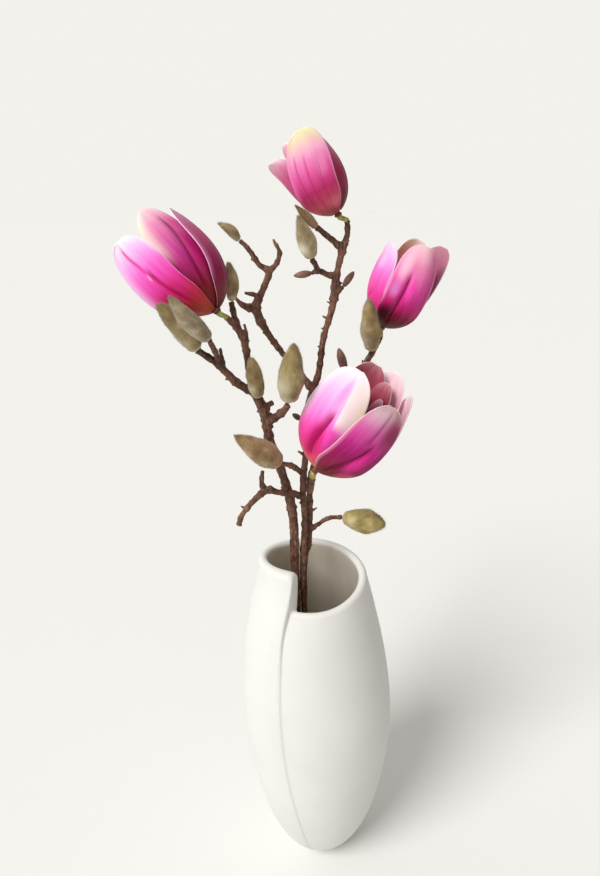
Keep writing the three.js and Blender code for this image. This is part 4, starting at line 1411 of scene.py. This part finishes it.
def add_heart(name, to_world, cone):
    """The seat and the seed cone, turned from a profile, and a ring of stamens round the cone."""
    profile = [*SEAT_PROFILE, (2.5, cone * 0.55), (1.7, cone * 0.85), (0.01, cone)]
    rows = len(profile) - 1

    def place_of(share, angle):
        radius, height = profile[round(share * rows)]
        rough = 1 + 0.1 * noise.noise(Vector((math.cos(angle), math.sin(angle), height * 0.5)) * 2.1)
        if height > 3:
            rough += 0.14 * math.cos(6 * angle + 2.2 * height)
        return to_world @ mm(radius * rough * math.cos(angle), radius * rough * math.sin(angle), height)

    heart = add_primitive("grid", f"{name}_heart", x_subdivisions=24, y_subdivisions=rows, size=2)
    roll_up(heart, rows, place_of)
    subdivide(heart, 1)
    heart.data.materials.append(heart_brown)
    stamens = [heart]
    for number in range(STAMENS):
        angle = number / STAMENS * 2 * math.pi
        tall = 1 + 0.15 * math.sin(number * 2.4)
        stamen = add_primitive(
            "cone", "stamen", vertices=6, radius1=0.45 * MM, radius2=0.25 * MM, depth=STAMEN_LENGTH,
        )
        for vertex in stamen.data.vertices:
            t = vertex.co.z / STAMEN_LENGTH + 0.5
            reach = 1.4 + 2.4 * math.sin(t * 2.2) + vertex.co.x / MM
            vertex.co = to_world @ (
                Matrix.Rotation(angle, 3, "Z") @ mm(reach, vertex.co.y / MM, 2 + 8.5 * t * tall)
            )
        stamen.data.materials.append(stamen_cream)
        stamens.append(stamen)
    return join(stamens)


def add_stalk(name, base, aim, twig_end, way, thick):
    """A short thick stem that bends from the end of the twig into the flower's seat."""
    axis, leaving = Vector(aim).normalized(), Vector(way).normalized()
    foot, top = Vector(twig_end) - leaving * 0.8, Vector(base) - axis * 6.1
    reach = (top - foot).length / 3
    a, b, c, d = foot, foot + leaving * reach, top - axis * reach, top

    def place_of(t, angle):
        here = a * (1 - t) ** 3 + b * 3 * t * (1 - t) ** 2 + c * 3 * t**2 * (1 - t) + d * t**3
        heading = ((b - a) * (1 - t) ** 2 + (c - b) * 2 * t * (1 - t) + (d - c) * t**2).normalized()
        side = heading.cross(FRONT).normalized()
        ring = 0.2 * math.exp(-(((t - 0.15) / 0.07) ** 2)) + 0.12 * smooth((t - 0.7) / 0.3)
        closed = 0.01 if t in (0.0, 1.0) else 1
        radius = thick * lerp(0.9, 1.1, t) * (1 + ring) * closed * (1 + 0.06 * noise.noise(here * 0.6))
        return (here + (side * math.cos(angle) + heading.cross(side) * math.sin(angle)) * radius) * MM

    stalk = add_primitive("grid", f"{name}_stem", x_subdivisions=STALK_GRID, y_subdivisions=STALK_GRID, size=2)
    roll_up(stalk, STALK_GRID, place_of)
    subdivide(stalk, 1)
    return stalk


FLOWERS = {
    "flower_left": ((-58, -27, 492), (-29, 14, 37), (-50, -23, 483), (-4, -3, 5), 16, 1.7, stalk_green),
    "flower_top": ((20, 22, 544), (-21, 3, 44), (28.2, 23, 535.5), (-1, -1, 5), 13, 1.7, stalk_green),
    "flower_right": ((55.5, 30.5, 468), (22, -1.5, 48), (52, 27, 457), (4, 4, 9), 14, 1.8, stalk_green),
    "flower_front": ((5, -16.5, 379.5), (28, 6, 43), (0.8, -11, 368), (0, -6, 6), 17, 2.2, stalk_tan),
}
for name, (base, aim, twig_end, way, cone, thick, skin) in FLOWERS.items():
    heart = add_heart(name, flower_frame(base, aim), cone)
    face_out(heart)
    hand_in(heart, "flower_heart", [f"{name}_receptacle"])
    stem = add_stalk(name, base, aim, twig_end, way, thick)
    stem.data.materials.append(skin)
    face_out(stem)
    hand_in(stem, "green_stalk", [f"{name}_stalk"])

# %% [markdown]
# ## The buds
#
# A magnolia's flower buds wear grey green fur. A bump map alone would leave their outline hard, so each
# bud is a plump teardrop with a noisy skin, the groove where its two scales meet, a collar at its root,
# and a few thousand short hairs that lie towards the tip. A hair is a sliver of three faces. The small
# leaf buds are brown and nearly bare, with a few very short hairs.
#
# Five attributes go with every bud: `along`, from root to tip; `round_x` and `round_y`, the place round
# its axis, for streaks that run along it; `fuzz`, from 0 on the skin to 1 at the end of a hair; and one
# for a painted highlight: paler fur low on the left side of the bud, which faces the light.

# %% Felt and scale materials
# The last argument sets the strength of a painted highlight: paler fur on the side of a bud that faces the
# light.
def felt(name, dark, middle, light, root, painted_highlight=0.5):
    material, tree, shader = new_material(
        name, {"Roughness": 0.85, "Specular IOR Level": 0.2, "Sheen Weight": 0.35, "Sheen Roughness": 0.5},
    )
    along, fuzz, patch, round_x, round_y = (
        add_node(tree, "ShaderNodeAttribute", {"attribute_name": kind}).outputs["Fac"]
        for kind in ("along", "fuzz", "painted_highlight", "round_x", "round_y")
    )
    lengthwise = math_of(tree, "MULTIPLY", along, 0.5)
    wrapped = add_node(
        tree, "ShaderNodeCombineXYZ", None, {"X": round_x, "Y": round_y, "Z": lengthwise},
    ).outputs[0]
    streak = noise_of(tree, wrapped, 9, 4, 0.6)
    cloud = noise_of(tree, object_place(tree), 110, 3)
    fine = noise_of(tree, object_place(tree), 1700, 3, 0.6)
    tone = ramp(tree, cloud, [(0.3, dark), (0.52, middle), (0.75, light)])
    tone = mix(tree, ease(tree, streak, 0.5, 0.75, 0, 0.45), tone, light)
    tone = mix(tree, ease(tree, streak, 0.48, 0.3, 0, 0.4), tone, dark)
    tone = mix(tree, ease(tree, fine, 0.5, 0.7, 0, 0.4), tone, light)
    # Painted highlight: pale fur low on the lit left side of each bud.
    tone = mix(tree, math_of(tree, "MULTIPLY", patch, painted_highlight), tone, "#E3DFC8")
    tone = mix(tree, ease(tree, along, 0.16, 0.03, 0, 0.7), tone, root)
    tone = mix(tree, ease(tree, along, 0.85, 1.0, 0, 0.35), tone, dark)
    tone = mix(tree, math_of(tree, "MULTIPLY", fuzz, 0.3), tone, light)
    tree.links.new(tone, shader.inputs["Base Color"])
    tree.links.new(bump(tree, fine, 0.6, 0.0005), shader.inputs["Normal"])
    return material


felt_olive = felt("bud_felt_olive", "#665230", "#988456", "#C4B48A", "#D3C6AC")
felt_shade = felt("bud_felt_shaded", "#644E2C", "#927A4E", "#C0AC80", "#BCAA8C", 0.3)
felt_silver = felt("bud_felt_silver", "#604E3A", "#9A886A", "#D4C8AC", "#BDAE98", 0.6)
felt_yellow = felt("bud_felt_yellow", "#786A36", "#AC9A5C", "#D4C48C", "#B8A472", 0.2)
felt_brown = felt("bud_felt_brown", "#6A4F31", "#967750", "#C2A97F", "#B79A78", 0.25)
felt_pale = felt("bud_felt_pale", "#6C573A", "#9C8862", "#CCBE9C", "#B5A58C", 1.0)
scale_brown = felt("leaf_bud_scales", "#42291F", "#6E4C3D", "#9A7662", "#5A4034", 0.0)
print("bud materials made")

# %% One bud
HAIR_HALF, HAIR_BACK, HAIR_SUNK = 0.055, 0.08, 0.2  # a hair's half width, its thickness, and its root's depth


def add_bud(
    name, base, tip, radius, material, slot, seed, hairs, hair=1.5, widest=0.38, bow=0.0, stub=0.45, point=0.0
):
    """A furry bud of so many hairs, each about hair mm long. Widest is the place of its belly, from its root,
    0, to its tip, 1; bow bends it sideways, stub is how broad its root is and point how pointed its tip."""
    start, axis = Vector(base), Vector(tip) - Vector(base)
    length = axis.length
    axis.normalize()
    sideways = FRONT.cross(axis).normalized()
    upright = Vector((0, 0, 1)).rotation_difference(axis).to_matrix()

    def skin(t, angle):
        """A point of the bud's skin, t from its root, 0, to its tip, 1."""
        if t < widest:
            plump = lerp(stub, 1, math.sin(t / widest * math.pi / 2))
        else:
            plump = max(0, 1 - ((t - widest) / (1 - widest)) ** lerp(1.9, 1.4, point)) ** lerp(0.62, 0.9, point)
        plump *= math.sqrt(min(1, t / 0.05))
        plump += 0.06 * math.exp(-(((t - 0.09) / 0.03) ** 2))
        groove = 0.06 * math.exp(-(((angle - 2.2 - t) / 0.14) ** 2)) * smooth((t - 0.1) / 0.2) * (
            1 - smooth((t - 0.75) / 0.2)
        )
        here = Vector((math.cos(angle), math.sin(angle), 0)) * radius * (plump - groove)
        here += Vector((0, 0, t * length))
        uneven = 1 + 0.11 * noise.noise((here + start) * 0.13)
        here.x, here.y = here.x * uneven, here.y * uneven
        return start + upright @ here + sideways * bow * math.sin(math.pi * t)

    def marks(t, angle, fuzz):
        """The five attributes of a place on the bud."""
        out = upright @ Vector((math.cos(angle), math.sin(angle), 0))
        # Painted highlight: strongest low on the bud, where its skin faces left and to the front, towards the
        # light.
        patch = math.exp(-(((t - 0.28) / 0.17) ** 2)) * smooth(-0.85 * out.x - 0.45 * out.y)
        return {
            "along": t, "round_x": math.cos(angle), "round_y": math.sin(angle), "fuzz": fuzz, "painted_highlight": patch,
        }

    def store(mesh, found):
        for kind in found[0]:
            mesh.attributes.new(kind, "FLOAT", "POINT").data.foreach_set(
                "value", [mark[kind] for mark in found],
            )

    bud = add_primitive("uv_sphere", name, segments=32, ring_count=24, radius=1)
    found = []
    for vertex in bud.data.vertices:
        t = math.asin(max(-1, min(1, vertex.co.z))) / math.pi + 0.5
        angle = math.atan2(vertex.co.y, vertex.co.x) % (2 * math.pi)
        found.append(marks(t, angle, 0.0))
        vertex.co = skin(t, angle) * MM
    store(bud.data, found)
    dice = random.Random(seed)
    points, faces, found = [], [], []
    while len(faces) < 3 * hairs:
        t, angle = dice.uniform(0.05, 0.985), dice.uniform(0, 2 * math.pi)
        here = skin(t, angle)
        girth = here - skin(t, angle + math.pi)
        if dice.random() > 0.3 + 0.7 * girth.length / (2 * radius):
            continue
        out = girth.normalized()
        loose = Vector((dice.uniform(-1, 1), dice.uniform(-1, 1), dice.uniform(-1, 1)))
        way = (axis * 0.9 + out * 0.42 + loose * 0.25).normalized()
        across = way.cross(out).normalized()
        root = here - out * HAIR_SUNK
        first = len(points)
        points += [root + across * HAIR_HALF, root - across * HAIR_HALF, root + out * HAIR_BACK]
        points.append(root + way * hair * dice.uniform(0.6, 1.2))
        faces += [
            (first, first + 1, first + 3), (first + 1, first + 2, first + 3), (first + 2, first, first + 3),
        ]
        found += [marks(t, angle, fuzz) for fuzz in (0.1, 0.1, 0.1, 1.0)]
    coat = bpy.data.meshes.new("coat")
    coat.from_pydata([p * MM for p in points], [], faces)
    store(coat, found)
    fur = bpy.data.objects.new("coat", coat)
    bpy.context.collection.objects.link(fur)
    bud = join([bud, fur])
    bud.data.materials.append(material)
    hand_in(bud, slot, [name.replace("_fur", "").replace("_scales", "")])


print("bud maker ready")

# %% All buds
FELT_BUDS = {
    "bud_far_left": ((-67.5, -35.8, 466.3), (-85.1, -52, 496.9), 7.2, felt_olive, dict(bow=-2)),
    "bud_left_front": (
        (-58.5, -45.5, 474), (-75.4, -66, 503), 5.8, felt_silver, dict(widest=0.32, bow=1, point=0.5),
    ),
    "bud_behind_flower": ((-46.8, -14.5, 491.3), (-48.5, -3, 514), 4.2, felt_olive, dict(bow=-1)),
    "bud_fork_small": ((-33, -24.5, 431), (-36, -30, 459), 5.5, felt_shade, {}),
    "bud_fork_large": ((-14, -22.5, 426), (-9, -20, 465), 8.4, felt_olive, dict(point=0.3)),
    "bud_broad": ((-21.5, -21.5, 383.5), (-49, -38, 411), 8.6, felt_brown, dict(widest=0.34, point=0.7)),
    "bud_arm": ((-43, 26, 525), (-56, 22, 536.5), 3.4, felt_olive, dict(bow=-1.5, point=0.6)),
    "bud_leaning": ((8, 14.5, 532), (-5.5, 7, 546), 3.1, felt_brown, dict(point=0.8, stub=0.6)),
    "bud_pale": ((4.5, 11, 513), (-4, 5, 540), 5.9, felt_pale, dict(widest=0.32, point=0.5)),
    "bud_beside_right_flower": ((45, 18.5, 449.5), (40.5, 3, 487.5), 6.8, felt_shade, dict(widest=0.3)),
    "bud_low_right": ((21.5, -3, 330.5), (52.5, -12, 328), 9, felt_yellow, dict(widest=0.46, stub=0.3)),
}
for seed, (name, (base, tip, radius, material, shape)) in enumerate(FELT_BUDS.items()):
    add_bud(f"{name}_fur", base, tip, radius, material, "bud_felt", seed=seed, hairs=int(520 * radius), **shape)

LEAF_BUDS = {
    "leaf_bud_top_left": ((4, 12, 504), (-8, 8, 503), 2.3),
    "leaf_bud_top_right": ((25, 17, 494), (32, 14, 504), 2.3),
    "leaf_bud_behind": ((26, 14, 436), (21, 10, 454), 3.2),
    "leaf_bud_beside_flower": ((-6, 2, 406), (-12, 0, 411), 2.1),
}
for seed, (name, (base, tip, radius)) in enumerate(LEAF_BUDS.items(), 50):
    add_bud(
        f"{name}_scales", base, tip, radius, scale_brown, "leaf_bud", widest=0.45, seed=seed, hairs=100,
        hair=0.5,
    )
